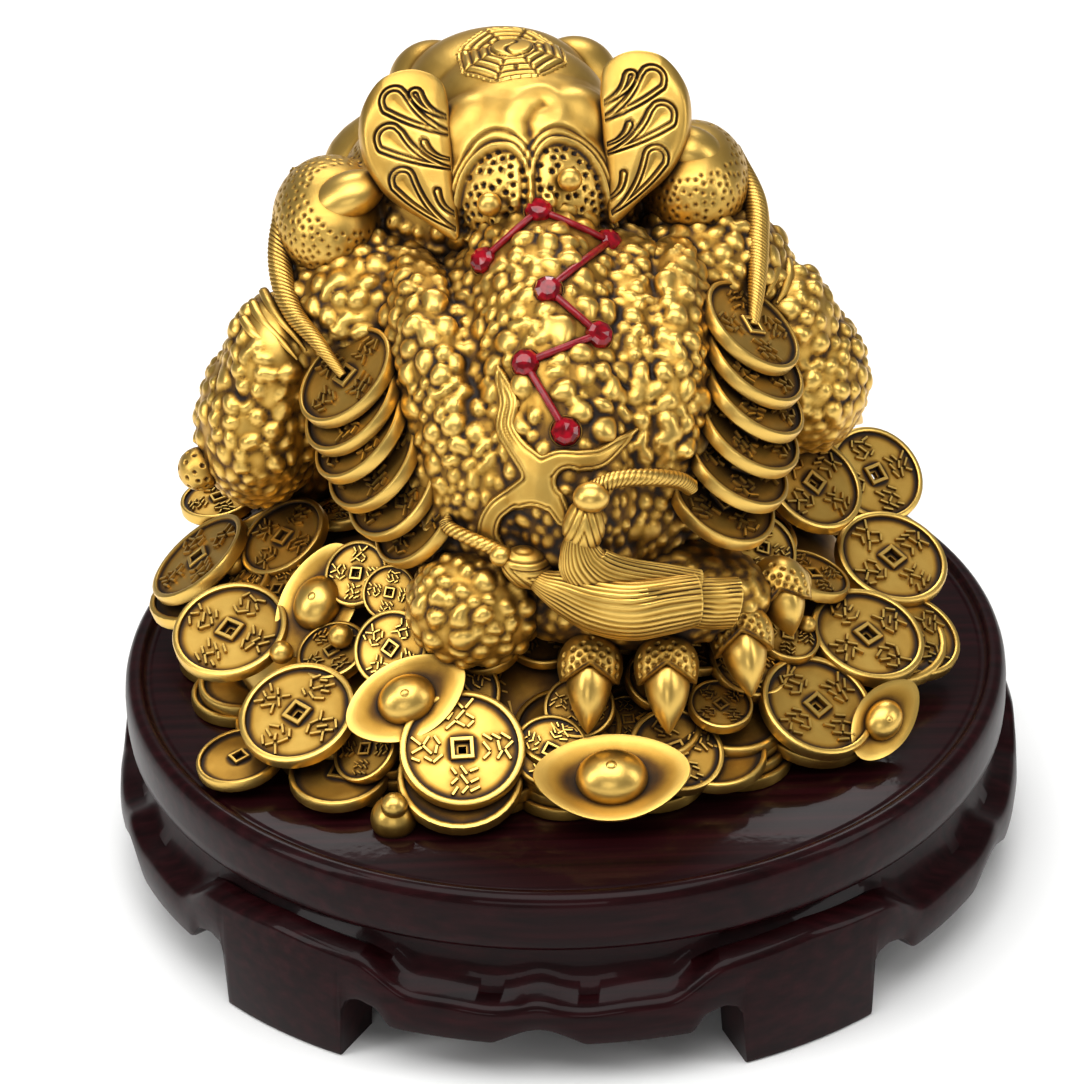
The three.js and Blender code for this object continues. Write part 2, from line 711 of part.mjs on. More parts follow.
// The ring of feet: a closed band whose section follows the stations round the circle
function standBase() {
  const sections = footRingStations().map((station) => {
    const turn = (90 + station.angle) * RADIAN;
    return footRingSection(station).map(([radius, height]) => {
      return [radius * Math.cos(turn), radius * Math.sin(turn), height];
    });
  });
  const sides = sections[0].length;
  const faces = [];
  sections.forEach((_, index) => {
    const here = index * sides;
    const there = ((index + 1) % sections.length) * sides;
    for (let side = 0; side < sides; side++) {
      const next = (side + 1) % sides;
      faces.push(here + side, there + side, there + next, here + side, there + next, here + next);
    }
  });
  const geometry = new THREE.BufferGeometry();
  geometry.setAttribute("position", new THREE.Float32BufferAttribute(sections.flat(2), 3));
  geometry.setIndex(faces);
  return solidOf(geometry);
}

const figure = new THREE.Group();
figure.add(namedMesh("stand_base", standBase(), lacquer));
figure.add(namedMesh("stand_top", standTop(), lacquer));

const casting = new THREE.Group();
casting.position.z = FLOOR + STAND_GAP;
casting.add(namedMesh("toad", toad(), brass));
gemMeshes().forEach((mesh) => casting.add(mesh));
figure.add(casting);

export default figure;
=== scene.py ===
"""The looks of a money toad cast in brass, on a heap of coins and a lacquered wooden stand.

The casting is drawn in millimetres as its solid is: x and y from the middle of the stand, heights from
the casting's own underside. The toad faces -Y and its left is +X. The stand is drawn in millimetres
from the table.
"""

import math

import bmesh
import bpy
import numpy as np
from mathutils import Euler, Matrix, Vector, noise
from mathutils.bvhtree import BVHTree
from mathutils.kdtree import KDTree


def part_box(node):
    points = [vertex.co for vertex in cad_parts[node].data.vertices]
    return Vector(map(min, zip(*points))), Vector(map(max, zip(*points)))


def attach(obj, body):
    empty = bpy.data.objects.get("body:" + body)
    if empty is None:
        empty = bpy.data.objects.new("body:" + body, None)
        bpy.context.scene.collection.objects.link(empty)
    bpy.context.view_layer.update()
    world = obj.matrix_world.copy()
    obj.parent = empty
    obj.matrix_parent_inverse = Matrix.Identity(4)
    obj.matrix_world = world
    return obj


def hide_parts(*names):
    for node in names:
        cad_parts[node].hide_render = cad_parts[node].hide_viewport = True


bl_info = {
    "name": "Money toad",
    "version": (1, 0, 0),
    "blender": (4, 5, 0),
    "location": "View3D > Sidebar > Money toad",
    "description": "Dresses a brass money toad, its coins, its gems and its lacquered stand",
    "category": "Object",
}

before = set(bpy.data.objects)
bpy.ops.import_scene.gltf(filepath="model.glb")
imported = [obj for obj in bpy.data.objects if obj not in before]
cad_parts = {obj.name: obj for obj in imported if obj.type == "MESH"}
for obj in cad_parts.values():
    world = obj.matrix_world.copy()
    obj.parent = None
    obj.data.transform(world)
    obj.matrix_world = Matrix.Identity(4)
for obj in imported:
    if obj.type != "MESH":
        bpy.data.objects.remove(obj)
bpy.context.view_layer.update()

MM = 0.001
FROM_CASTING = Matrix.Translation((0, 0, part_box("toad")[0].z)) @ Matrix.Scale(MM, 4)
FROM_TABLE = Matrix.Scale(MM, 4)
COARSER = 1.0


class MoneyToadSizes(bpy.types.PropertyGroup):
    """Sizes of the finer relief, in millimetres"""

    skin_step: bpy.props.FloatProperty(
        name="Skin step", description="Spacing of the points on the toad's skin", default=0.72, min=0.4
    )
    wart_small: bpy.props.FloatProperty(
        name="Small wart", description="Radius of the smallest warts", default=2.0, min=0.5
    )
    wart_large: bpy.props.FloatProperty(
        name="Large wart", description="Radius of the largest warts", default=4.3, min=1.0
    )
    coin_rim: bpy.props.FloatProperty(
        name="Coin rim", description="Width of the raised rim of a coin", default=2.0, min=0.5
    )
    strand: bpy.props.FloatProperty(
        name="Strand", description="Spacing of the strands brushed into the tassels", default=1.9, min=0.8
    )


def hex_colour(name, description, value):
    """A colour property whose default is an sRGB hex value."""
    return bpy.props.FloatVectorProperty(
        name=name, description=description, default=linear(value), size=4, min=0, max=1, subtype="COLOR"
    )


def linear(value):
    """An sRGB hex value as linear red, green, blue and alpha."""
    shares = [int(value[at : at + 2], 16) / 255 for at in (1, 3, 5)]
    return (*[s / 12.92 if s <= 0.04045 else ((s + 0.055) / 1.055) ** 2.4 for s in shares], 1.0)


class MoneyToadColours(bpy.types.PropertyGroup):
    """Colours of the finishes"""

    polished: hex_colour("Polished brass", "Brass where hands have polished it", "#E4BC62")
    satin: hex_colour("Satin brass", "Brass on the plain slopes", "#B08638")
    tarnish: hex_colour("Tarnish", "Brown film between the warts", "#5F4016")
    # The darkest stop of the brass: dirt, and painted shade where the occlusion shade is deepest
    dirt_and_shade: hex_colour("Dirt", "What lies in the deepest folds", "#1E1206")
    enamel: hex_colour("Enamel", "The painted red line", "#8E0418")
    glass: hex_colour("Red glass", "The seven stones", "#A8031C")
    lacquer: hex_colour("Lacquer", "Burgundy lacquer on the stand", "#1B0507")
    floor: hex_colour("Floor", "The plain floor", "#FBFBFA")


# The mesh as arrays


def coordinates(mesh):
    """The places of a mesh's points, one row for each."""
    values = np.empty(3 * len(mesh.vertices), np.float32)
    mesh.vertices.foreach_get("co", values)
    return values.reshape(-1, 3).astype(float)


def outward(mesh):
    """The outward directions at a mesh's points, one row for each."""
    values = np.empty(3 * len(mesh.vertices), np.float32)
    mesh.vertex_normals.foreach_get("vector", values)
    return values.reshape(-1, 3).astype(float)


def move_to(mesh, points):
    """Sets the places of a mesh's points."""
    mesh.vertices.foreach_set("co", points.astype(np.float32).ravel())
    mesh.update()


def evened(mesh, values, rounds):
    """Values at the vertices, averaged with those of their neighbours some times over."""
    ends = np.empty(2 * len(mesh.edges), np.int32)
    mesh.edges.foreach_get("vertices", ends)
    one, other = ends.reshape(-1, 2).T
    count = len(mesh.vertices)
    shares = np.maximum(np.bincount(one, minlength=count) + np.bincount(other, minlength=count), 1)
    for _ in range(rounds):
        sums = [
            np.bincount(one, column[other], count) + np.bincount(other, column[one], count)
            for column in values.T
        ]
        values = np.stack(sums, 1) / shares[:, None]
    return values


def mesh_of(form):
    """Turns a form that is done into a mesh."""
    mesh = bpy.data.meshes.new("form")
    form.to_mesh(mesh)
    form.free()
    return mesh


def evaluated(mesh, *modifiers):
    """The mesh that a chain of modifiers makes, each given as its kind and its settings."""
    thing = bpy.data.objects.new("form", mesh)
    bpy.context.collection.objects.link(thing)
    for kind, settings in modifiers:
        modifier = thing.modifiers.new(kind, kind)
        for name, value in settings.items():
            setattr(modifier, name, value)
    result = bpy.data.meshes.new_from_object(thing.evaluated_get(bpy.context.evaluated_depsgraph_get()))
    bpy.data.objects.remove(thing)
    return result


def fused(form, step, rounds):
    """One skin of even squares round everything in a form, with the creases between its parts softened."""
    return evaluated(
        mesh_of(form),
        ("REMESH", {"mode": "VOXEL", "voxel_size": step * COARSER}),
        ("SMOOTH", {"factor": 0.5, "iterations": rounds}),
    )


# Basic forms


def turned(degrees):
    """A turn by degrees about X, then Y, then Z."""
    return Euler([math.radians(angle) for angle in degrees]).to_matrix().to_4x4()


def placed(at, half, turn=(0, 0, 0)):
    """The place of a shape of unit size: where it sits, its half sizes along its own axes, and its turn."""
    return Matrix.Translation(at) @ turned(turn) @ Matrix.Diagonal((*half, 1))


def egg(form, centre, half, turn=(0, 0, 0), around=40):
    """An egg, set by its centre, its half sizes and its turn."""
    bmesh.ops.create_uvsphere(
        form, u_segments=around, v_segments=around // 2, radius=1, matrix=placed(centre, half, turn)
    )


def ball(form, cuts, place):
    """Adds a ball of nearly even squares, set and stretched by a matrix."""
    copied(form, ball_mesh(cuts), [place])


def ball_mesh(cuts):
    """A ball of radius 1 in nearly even squares."""
    single = bmesh.new()
    made = bmesh.ops.create_cube(single, size=2)["verts"]
    edges = list({edge for vertex in made for edge in vertex.link_edges})
    bmesh.ops.subdivide_edges(single, edges=edges, cuts=cuts, use_grid_fill=True)
    for vertex in single.verts:
        vertex.co.normalize()
    return mesh_of(single)


def block(form, place):
    """A small bar, narrower on top, set by a matrix."""
    made = bmesh.ops.create_cube(form, size=1)["verts"]
    for vertex in made:
        if vertex.co.z > 0:
            vertex.co.x *= 0.9
            vertex.co.y *= 0.6
        vertex.co = place @ vertex.co


def leaning(toward, lean):
    """The turn that leans a flat thing's +Z towards a bearing on the ground by some degrees."""
    return Matrix.Rotation(math.radians(toward), 4, "Z") @ Matrix.Rotation(math.radians(lean), 4, "Y")


def basis(across, front, up, at):
    """A place with its own axes along three directions."""
    turn = Matrix((across, front, up)).transposed().to_4x4()
    return Matrix.Translation(at) @ turn


def smooth_line(points, steps):
    """Points evenly spread by parameter on a smooth line through some points of any dimension."""
    knots = np.array(points, float)
    knots = np.vstack([2 * knots[0] - knots[1], knots, 2 * knots[-1] - knots[-2]])
    line = []
    for place in np.linspace(0, len(points) - 1, steps):
        first = min(int(place), len(points) - 2)
        share = place - first
        a, b, c, d = knots[first : first + 4]
        bend = (2 * a - 5 * b + 4 * c - d) * share**2 + (3 * b - a - 3 * c + d) * share**3
        line.append(0.5 * (2 * b + (c - a) * share + bend))
    return np.array(line)


def next_ring(form, ring):
    """Grows a tube on from a ring of points, and gives its new end in the same order."""
    edges = [form.edges.get((ring[i - 1], ring[i])) for i in range(len(ring))]
    grown = bmesh.ops.extrude_edge_only(form, edges=edges)["geom"]
    fresh = {item for item in grown if isinstance(item, bmesh.types.BMVert)}
    return [next(e.other_vert(v) for e in v.link_edges if e.other_vert(v) in fresh) for v in ring]


def swept(form, line, section, sides, up=(0, 0, 1)):
    """A closed bar along a line. The section gives the sideways and upward reach at a share of the length and
    an angle round it."""
    points = [Vector(point) for point in line]
    side = Vector(up).cross(points[1] - points[0]).normalized()
    ring = bmesh.ops.create_circle(form, cap_ends=False, radius=1, segments=sides)["verts"]
    first = list(ring)
    for step, point in enumerate(points):
        ahead = (points[min(step + 1, len(points) - 1)] - points[max(step - 1, 0)]).normalized()
        side = (side - ahead * side.dot(ahead)).normalized()
        over = ahead.cross(side)
        if step:
            ring = next_ring(form, ring)
        for index, vertex in enumerate(ring):
            reach = section(step / (len(points) - 1), 2 * math.pi * index / sides)
            vertex.co = point + side * reach[0] + over * reach[1]
    form.faces.new(ring)
    form.faces.new(reversed(first))


def ringed(form, rings, sides):
    """A closed skin through rings of (half width, square or round, height), outside first and then back
    through the hole in the middle."""
    ring = bmesh.ops.create_circle(form, cap_ends=False, radius=1, segments=sides)["verts"]
    everything = list(ring)
    turns = [2 * math.pi * index / sides for index in range(sides)]
    for number, (half, square, height) in enumerate([*rings, rings[0]]):
        if number:
            ring = next_ring(form, ring)
            everything += ring
        for vertex, turn in zip(ring, turns):
            across, along = math.cos(turn), math.sin(turn)
            reach = half / max(abs(across), abs(along)) if square else half
            vertex.co = (across * reach, along * reach, height)
    bmesh.ops.remove_doubles(form, verts=everything, dist=1e-4)


def spun(form, profile, steps, place=None):
    """A profile of (radius, height) points turned full circle about Z."""
    vertices = [form.verts.new((radius, 0, height)) for radius, height in profile]
    edges = [form.edges.new(pair) for pair in zip(vertices, vertices[1:])]
    bmesh.ops.spin(
        form, geom=vertices + edges, axis=(0, 0, 1), cent=(0, 0, 0), angle=2 * math.pi, steps=steps,
        use_merge=True,
    )
    bmesh.ops.remove_doubles(form, verts=form.verts[:], dist=1e-4)
    bmesh.ops.recalc_face_normals(form, faces=form.faces[:])
    if place:
        bmesh.ops.transform(form, matrix=place, verts=form.verts[:])


def copied(form, master, places=(Matrix(),)):
    """Adds a mesh to a form once for each matrix, and then drops the mesh."""
    for place in places:
        before = len(form.verts)
        form.from_mesh(master)
        form.verts.ensure_lookup_table()
        bmesh.ops.transform(form, matrix=place, verts=form.verts[before:])
    bpy.data.meshes.remove(master)


# Relief on a skin


def scattered(points, allowed, smallest, largest, overlap, tries, seed):
    """Round spots thrown at random on allowed points so that they only just overlap: centres and radii."""
    chance = np.random.default_rng(seed)
    order = chance.permutation(np.flatnonzero(allowed))[:tries]
    radii = smallest + (largest - smallest) * chance.random(len(order)) ** 1.15
    cell = 2 * largest
    grid = {}
    centres, sizes = [], []
    near = [(i, j, k) for i in (-1, 0, 1) for j in (-1, 0, 1) for k in (-1, 0, 1)]
    for (x, y, z), size in zip(points[order].tolist(), radii.tolist()):
        here = (int(x // cell), int(y // cell), int(z // cell))
        others = (spot for i, j, k in near for spot in grid.get((here[0] + i, here[1] + j, here[2] + k), ()))
        if any(
            (x - a) ** 2 + (y - b) ** 2 + (z - c) ** 2 < (overlap * (size + other)) ** 2
            for a, b, c, other in others
        ):
            continue
        grid.setdefault(here, []).append((x, y, z, size))
        centres.append((x, y, z))
        sizes.append(size)
    return np.array(centres), np.array(sizes)


def tree_of(points):
    """A search tree that finds the points near a place."""
    tree = KDTree(len(points))
    for index, point in enumerate(points):
        tree.insert(point, index)
    tree.balance()
    return tree


def tree_of_faces(mesh):
    """A search tree that finds where a ray meets a mesh."""
    places = [vertex.co for vertex in mesh.vertices]
    return BVHTree.FromPolygons(places, [face.vertices[:] for face in mesh.polygons])


def warts(points, centres, sizes, rise, seed):
    """How far rounded warts lift each point. Each is a little longer one way than the other, with a wavering
    outline and its own height."""
    chance = np.random.default_rng(seed)
    tree = tree_of(points)
    waver = np.zeros_like(points)
    for _ in range(6):
        way = chance.normal(size=3)
        way *= 2 * np.pi / ((7 + 7 * chance.random()) * np.linalg.norm(way))
        waver += np.sin(points @ way + 7 * chance.random())[:, None] * chance.normal(size=3) * 0.2
    lift = np.zeros(len(points))
    for centre, size in zip(centres, sizes):
        way = chance.normal(size=3)
        way /= np.linalg.norm(way)
        longer = 1 + 0.5 * chance.random() ** 2
        high = rise * size * (0.75 + 0.45 * chance.random())
        found = np.array([index for _, index, _ in tree.find_range(centre, size * longer + 0.8)], int)
        apart = points[found] - centre + waver[found]
        along = apart @ way
        reach = ((apart**2).sum(1) - along**2 * (1 - 1 / longer**2)) / size**2
        lift[found] = np.maximum(lift[found], high * np.clip(1 - reach, 0, 1) ** 0.5)
    return lift


def pits(points, centres, radius, depth):
    """How far small round holes lower each point."""
    tree = tree_of(points)
    drop = np.zeros(len(points))
    for centre in centres:
        for _, index, distance in tree.find_range(centre, radius):
            drop[index] = max(drop[index], depth * (1 - (distance / radius) ** 2) ** 0.5)
    return drop


def far_from(points, lines):
    """Distance of each point to the nearest of some polylines."""
    nearest = np.full(len(points), 1e9)
    for line in lines:
        for start, end in zip(line, line[1:]):
            way = end - start
            share = np.clip((points - start) @ way / (way @ way), 0, 1)
            nearest = np.minimum(nearest, np.linalg.norm(points - start - share[:, None] * way, axis=1))
    return nearest


def groove(distance, width, depth):
    """The depth of a rounded groove at a distance from its line."""
    return depth * np.exp(-((distance / width) ** 2))


def step_up(value, edge, width):
    """Rises smoothly from 0 to 1 as a value passes an edge."""
    share = np.clip((value - edge) / width + 0.5, 0, 1)
    return share * share * (3 - 2 * share)


SHEET_THICKNESS = 1.6
BARE_HEIGHT = -0.9  # a sheet of carving has no point where its relief is lower than this


def draped(mesh, place, half, step, relief):
    """A thin sheet of carving laid on a skin. Its place gives the sheet's own axes and looks down on the skin
    along its Z; the relief gives the height over the skin at places on the sheet, less than 0 where bare."""
    tree = tree_of_faces(mesh)
    form = bmesh.new()
    count = int(2 * half / (step * COARSER))
    bmesh.ops.create_grid(form, x_segments=count, y_segments=count, size=half, matrix=place)
    places = np.array([place.inverted() @ vertex.co for vertex in form.verts])
    heights = relief(places[:, 0], places[:, 1])
    down = -(place.to_3x3() @ Vector((0, 0, 1))).normalized()
    bare = []
    for vertex, height in zip(form.verts, heights):
        spot, normal, _, _ = tree.ray_cast(vertex.co - down * 200, down)
        if spot is None or height < BARE_HEIGHT:
            bare.append(vertex)
        else:
            vertex.co = spot + (normal * 0.5 - down * 0.5).normalized() * float(height)
    bmesh.ops.delete(form, geom=bare, context="VERTS")
    bmesh.ops.smooth_vert(
        form, verts=form.verts[:], factor=0.3, use_axis_x=True, use_axis_y=True, use_axis_z=True
    )
    bmesh.ops.recalc_face_normals(form, faces=form.faces[:])
    bmesh.ops.solidify(form, geom=form.faces[:], thickness=SHEET_THICKNESS)
    return mesh_of(form)


# Finishing a piece


def worn(mesh, rounds, depth, bare):
    """Stores how bare of tarnish each point is: a level on plain slopes (one for all or one for each point),
    up to 1 on what stands proud of its surroundings and down to 0 in the creases. On the mound and the gem
    rims the low level is painted shade."""
    points = coordinates(mesh)
    proud = ((points - evened(mesh, points, rounds)) * outward(mesh)).sum(1)
    values = np.clip(bare + 0.5 * proud / depth, 0, 1).astype(np.float32)
    mesh.attributes.new("wear", "FLOAT", "POINT").data.foreach_set("value", values)


def finish(name, mesh, material, nodes, place=FROM_CASTING, sharp=180):
    """Makes a mesh a piece: in metres, smooth but for its sharp edges, riding on the one body."""
    mesh.transform(place)
    mesh.materials.clear()
    mesh.materials.append(material)
    mesh.polygons.foreach_set("use_smooth", np.ones(len(mesh.polygons), bool))
    if sharp < 180:
        mesh.set_sharp_from_angle(angle=math.radians(sharp))
    mesh.name = name
    thing = bpy.data.objects.new(name, mesh)
    bpy.context.collection.objects.link(thing)
    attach(thing, "root")
    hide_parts(*nodes)
    return thing


MOST_TRIANGLES = 160000  # in any one skin


def thinned(mesh):
    """The same skin with fewer triangles on its plain stretches, where it has more than a piece needs."""
    mesh.calc_loop_triangles()
    have = len(mesh.loop_triangles)
    if have <= MOST_TRIANGLES:
        return mesh
    return evaluated(mesh, ("DECIMATE", {"ratio": MOST_TRIANGLES / have}))


def brass_piece(name, mesh, rounds=10, depth=0.55, sharp=180, bare=0.5):
    """Makes a mesh a part of the casting."""
    worn(mesh, rounds, depth, bare)
    brass = material_once("patinated_cast_brass", patinated_brass)
    finish(name, thinned(mesh), brass, ["toad"], sharp=sharp)


def wood_piece(name, form, node, sharp):
    """Makes a form a part of the stand, which is drawn from the table."""
    wood = material_once("lacquered_hardwood", lacquered_wood)
    finish(name, mesh_of(form), wood, [node], FROM_TABLE, sharp)


# Materials


def add(tree, kind, links=(), stops=(), **settings):
    """Adds a node with its settings, links given as (from socket, input name or number), and for a colour
    ramp its stops as (place, colour)."""
    node = tree.nodes.new(kind)
    for name, value in settings.items():
        if name in node.inputs:
            node.inputs[name].default_value = value
        else:
            setattr(node, name, value)
    for source, target in links:
        tree.links.new(source, node.inputs[target])
    if stops:
        elements = node.color_ramp.elements
        while len(elements) < len(stops):
            elements.new(0.5)
        for element, (place, colour) in zip(elements, stops):
            element.position = place
            element.color = colour
    return node


def new_material(name):
    """A material without a shader yet: itself, its tree, the places on its object and its surface's input."""
    material = bpy.data.materials.new(name)
    material.use_nodes = True
    tree = material.node_tree
    tree.nodes.clear()
    surface = add(tree, "ShaderNodeOutputMaterial").inputs["Surface"]
    return material, tree, add(tree, "ShaderNodeTexCoord").outputs["Object"], surface


def material_once(name, make):
    """The material of that name, made the first time that it is asked for."""
    return bpy.data.materials.get(name) or make(name)


def toned(colour, share):
    """A colour made darker or lighter."""
    return [channel * share for channel in colour[:3]] + [1.0]


def patinated_brass(name):
    """Cast brass, chemically darkened and rubbed back: gold on what stands proud, brown patina and painted
    shade in the folds.
    """
    colours = bpy.context.scene.money_toad_colours
    material, tree, place, surface = new_material(name)
    wear = add(tree, "ShaderNodeAttribute", attribute_name="wear").outputs["Fac"]
    # Painted shade by ambient occlusion: deep folds and the gaps between pieces darken over a centimetre, and
    # edges and strokes get a thin dark outline of painted shade
    wide_painted_shade = add(tree, "ShaderNodeAmbientOcclusion", samples=6, Distance=12 * MM).outputs["AO"]
    thin = add(tree, "ShaderNodeAmbientOcclusion", samples=6, Distance=1.8 * MM).outputs["AO"]
    # Blotches of tarnish about 15 mm across, and a cast grain of about half a millimetre
    blotch = add(tree, "ShaderNodeTexNoise", [(place, "Vector")], Scale=70.0, Detail=3.0).outputs["Fac"]
    grain = add(tree, "ShaderNodeTexNoise", [(place, "Vector")], Scale=1900.0, Detail=2.0).outputs["Fac"]
    # Painted shade darkens the worn level, so the darkest stops stand for dirt and painted shade together
    painted_shade = add(tree, "ShaderNodeMath", [(wide_painted_shade, 0), (thin, 1)], operation="MULTIPLY").outputs[0]
    bare = add(tree, "ShaderNodeMath", [(wear, 0), (painted_shade, 1)], operation="MULTIPLY").outputs[0]
    spread = add(
        tree, "ShaderNodeMapRange", [(blotch, "Value")],
        **{"From Min": 0.3, "From Max": 0.7, "To Min": -0.08, "To Max": 0.08},
    ).outputs[0]
    tone = add(tree, "ShaderNodeMath", [(bare, 0), (spread, 1)], operation="ADD").outputs[0]
    stops = [
        (0.04, colours.dirt_and_shade), (0.17, colours.tarnish), (0.36, colours.satin), (0.7, colours.polished),
    ]
    colour = add(tree, "ShaderNodeValToRGB", [(tone, "Fac")], stops).outputs["Color"]
    # Tarnish is rougher and less of a metal than what is rubbed bare
    rough = add(
        tree, "ShaderNodeMapRange", [(tone, "Value")],
        **{"From Min": 0.1, "From Max": 0.7, "To Min": 0.58, "To Max": 0.34},
    ).outputs[0]
    metal = add(
        tree, "ShaderNodeMapRange", [(tone, "Value")],
        **{"From Min": 0.02, "From Max": 0.3, "To Min": 0.55, "To Max": 1.0},
    ).outputs[0]
    bump = add(tree, "ShaderNodeBump", [(grain, "Height")], Strength=0.12, Distance=0.3 * MM).outputs[0]
    links = [(colour, "Base Color"), (rough, "Roughness"), (metal, "Metallic"), (bump, "Normal")]
    shader = add(tree, "ShaderNodeBsdfPrincipled", links)
    tree.links.new(shader.outputs[0], surface)
    return material


def red_enamel(name):
    """Soft enamel paint, brushed on: opaque, glossy, slightly uneven."""
    enamel = bpy.context.scene.money_toad_colours.enamel
    material, tree, place, surface = new_material(name)
    # Brush marks a little under 2 mm apart
    brushed = add(tree, "ShaderNodeTexNoise", [(place, "Vector")], Scale=600.0, Detail=2.0).outputs["Fac"]
    bump = add(tree, "ShaderNodeBump", [(brushed, "Height")], Strength=0.2, Distance=0.3 * MM).outputs[0]
    stops = [(0.3, toned(enamel, 0.55)), (0.6, enamel)]
    colour = add(tree, "ShaderNodeValToRGB", [(brushed, "Fac")], stops).outputs["Color"]
    gloss = {"Roughness": 0.28, "Specular IOR Level": 0.35, "Coat Weight": 0.15}
    shader = add(tree, "ShaderNodeBsdfPrincipled", [(colour, "Base Color"), (bump, "Normal")], **gloss)
    tree.links.new(shader.outputs[0], surface)
    return material


def red_glass(name):
    """Pressed glass stones, foiled behind: deep red, clear and very smooth, with a darker heart."""
    glass = bpy.context.scene.money_toad_colours.glass
    material, tree, place, surface = new_material(name)
    # Swirls about 3 mm across
    swirl = add(tree, "ShaderNodeTexNoise", [(place, "Vector")], Scale=350.0, Detail=1.0).outputs["Fac"]
    stops = [(0.35, toned(glass, 0.35)), (0.62, glass)]
    colour = add(tree, "ShaderNodeValToRGB", [(swirl, "Fac")], stops).outputs["Color"]
    gloss = {"Roughness": 0.04, "Specular IOR Level": 0.45, "Transmission Weight": 0.2, "Coat Weight": 0.1}
    shader = add(tree, "ShaderNodeBsdfPrincipled", [(colour, "Base Color")], **gloss)
    tree.links.new(shader.outputs[0], surface)
    return material


def lacquered_wood(name):
    """Turned hardwood, stained and lacquered many times: nearly black burgundy under a deep gloss."""
    lacquer = bpy.context.scene.money_toad_colours.lacquer
    material, tree, place, surface = new_material(name)
    # Grain lines 3 mm apart across the board, drawn out forty times along it
    along = add(tree, "ShaderNodeMapping", [(place, "Vector")], Scale=(1.0, 40.0, 40.0)).outputs[0]
    grain = add(tree, "ShaderNodeTexNoise", [(along, "Vector")], Scale=8.0, Detail=5.0).outputs["Fac"]
    stops = [(0.3, toned(lacquer, 0.45)), (0.52, lacquer), (0.75, toned(lacquer, 1.9))]
    colour = add(tree, "ShaderNodeValToRGB", [(grain, "Fac")], stops).outputs["Color"]
    # The lacquer's orange peel, about 6 mm across
    peel = add(tree, "ShaderNodeTexNoise", [(place, "Vector")], Scale=160.0, Detail=2.0).outputs["Fac"]
    bump = add(tree, "ShaderNodeBump", [(peel, "Height")], Strength=0.05, Distance=1 * MM).outputs[0]
    gloss = {"Roughness": 0.35, "Specular IOR Level": 0.06, "Coat Weight": 0.11, "Coat Roughness": 0.06}
    links = [(colour, "Base Color"), (bump, "Normal"), (bump, "Coat Normal")]
    shader = add(tree, "ShaderNodeBsdfPrincipled", links, **gloss)
    tree.links.new(shader.outputs[0], surface)
    return material


def matt_paper(name):
    """A matt paper sweep: nearly white, with only the faintest unevenness."""
    floor = bpy.context.scene.money_toad_colours.floor
    material, tree, place, surface = new_material(name)
    cloud = add(tree, "ShaderNodeTexNoise", [(place, "Vector")], Scale=3.0, Detail=2.0).outputs["Fac"]
    stops = [(0.4, toned(floor, 0.97)), (0.6, floor)]
    colour = add(tree, "ShaderNodeValToRGB", [(cloud, "Fac")], stops).outputs["Color"]
    shader = add(tree, "ShaderNodeBsdfPrincipled", [(colour, "Base Color")], Roughness=0.9)
    tree.links.new(shader.outputs[0], surface)
    return material


# The toad's body

BACK_EGGS = [
    [(3, 2, 83.5), (57, 70, 54), (-25, 0, 6)],
    [(2, 6, 99.5), (34, 76, 50), (-33, 0, 6)],
    [(37, 9, 99.5), (17, 52, 36), (-36, 4, 12)],
    [(-35, 9, 103.5), (16, 50, 36), (-36, -4, -4)],
    [(60, -27, 115), (31, 29, 25), (-10, 20, 0)],
    [(-50, -29, 123), (28, 28, 23), (-10, -20, 0)],
    [(8, -50, 81.5), (58, 44, 52), (0, 0, 0)],
    [(-23, 8, 101.5), (20, 54, 39), (-36, 0, 0)],
    [(24, 6, 99), (17, 50, 37), (-36, 0, 6)],
]
HIDDEN_BELOW = 38  # what lies deeper in the heap is left out

# The axes of one who looks from behind and above: right, up, and towards the viewer
FROM_BEHIND = Matrix(((-1, 0, 0, 0), (0, -0.510, 0.860, 0), (0, 0.860, 0.510, 0), (0, 0, 0, 1))).transposed()
TO_VIEWER = FROM_BEHIND.to_3x3() @ Vector((0, 0, 1))
FAR_OUT = 60  # where rays towards the toad start

# The flame-like ornament as seen from there: lines of (right, up, half width)
FLAME_MIDDLE = 60
FLAME_PLACE = FROM_BEHIND @ Matrix.Translation((0, FLAME_MIDDLE, 0))
FLAME_LINES = [
    [
        (-18.1, 90.5, 0.3), (-17, 85.7, 1.9), (-15, 79, 2.8), (-16.1, 71.2, 2.9), (-12.7, 64.5, 3.1),
        (-8, 58.4, 4.2), (-7, 53.4, 4.6),
    ],
    [
        (-5, 57.7, 4.1), (0, 59.9, 3.6), (6, 59.9, 3.2), (12.1, 60.8, 2.9), (17.8, 64.8, 2.0),
        (24.6, 69.8, 0.2),
    ],
    [(-7, 53.4, 4.4), (-13.7, 50.1, 3.4), (-20.4, 45.6, 3.2), (-22.8, 39, 3.2), (-19.6, 33.4, 2.2)],
    [(-5.5, 53, 4.6), (-2.3, 48.4, 3.4), (0.5, 42.9, 2.6)],
    [(-12, 49.5, 3.4), (-5, 48.5, 3.4)],
]
# Bare rounds between its limbs: middle and half sizes
FLAME_PITS = [(-9.3, 37.6, 8.2, 9.0), (2.5, 53.7, 3.9, 3.9)]
FLAME_BLEND = 0.35  # how softly its limbs run together
FLAME_SHEET = (36, 0.42)  # half size and spacing of the sheet it is carved on


def flame_depth(right, up):
    """How far inside the flame's outline a place is, in millimetres; less than 0 outside."""
    total = np.zeros(len(right))
    for line in FLAME_LINES:
        nearest = np.full(len(right), -1e3)
        for x, y, width in smooth_line(line, 50):
            nearest = np.maximum(nearest, width - np.hypot(right - x, up - y))
        total += np.exp(np.clip(nearest, -20, 20) / FLAME_BLEND)
    inside = FLAME_BLEND * np.log(total + 1e-9)
    for x, y, across, tall in FLAME_PITS:
        inside = np.minimum(inside, (np.hypot((right - x) / across, (up - y) / tall) - 1) * min(across, tall))
    return inside


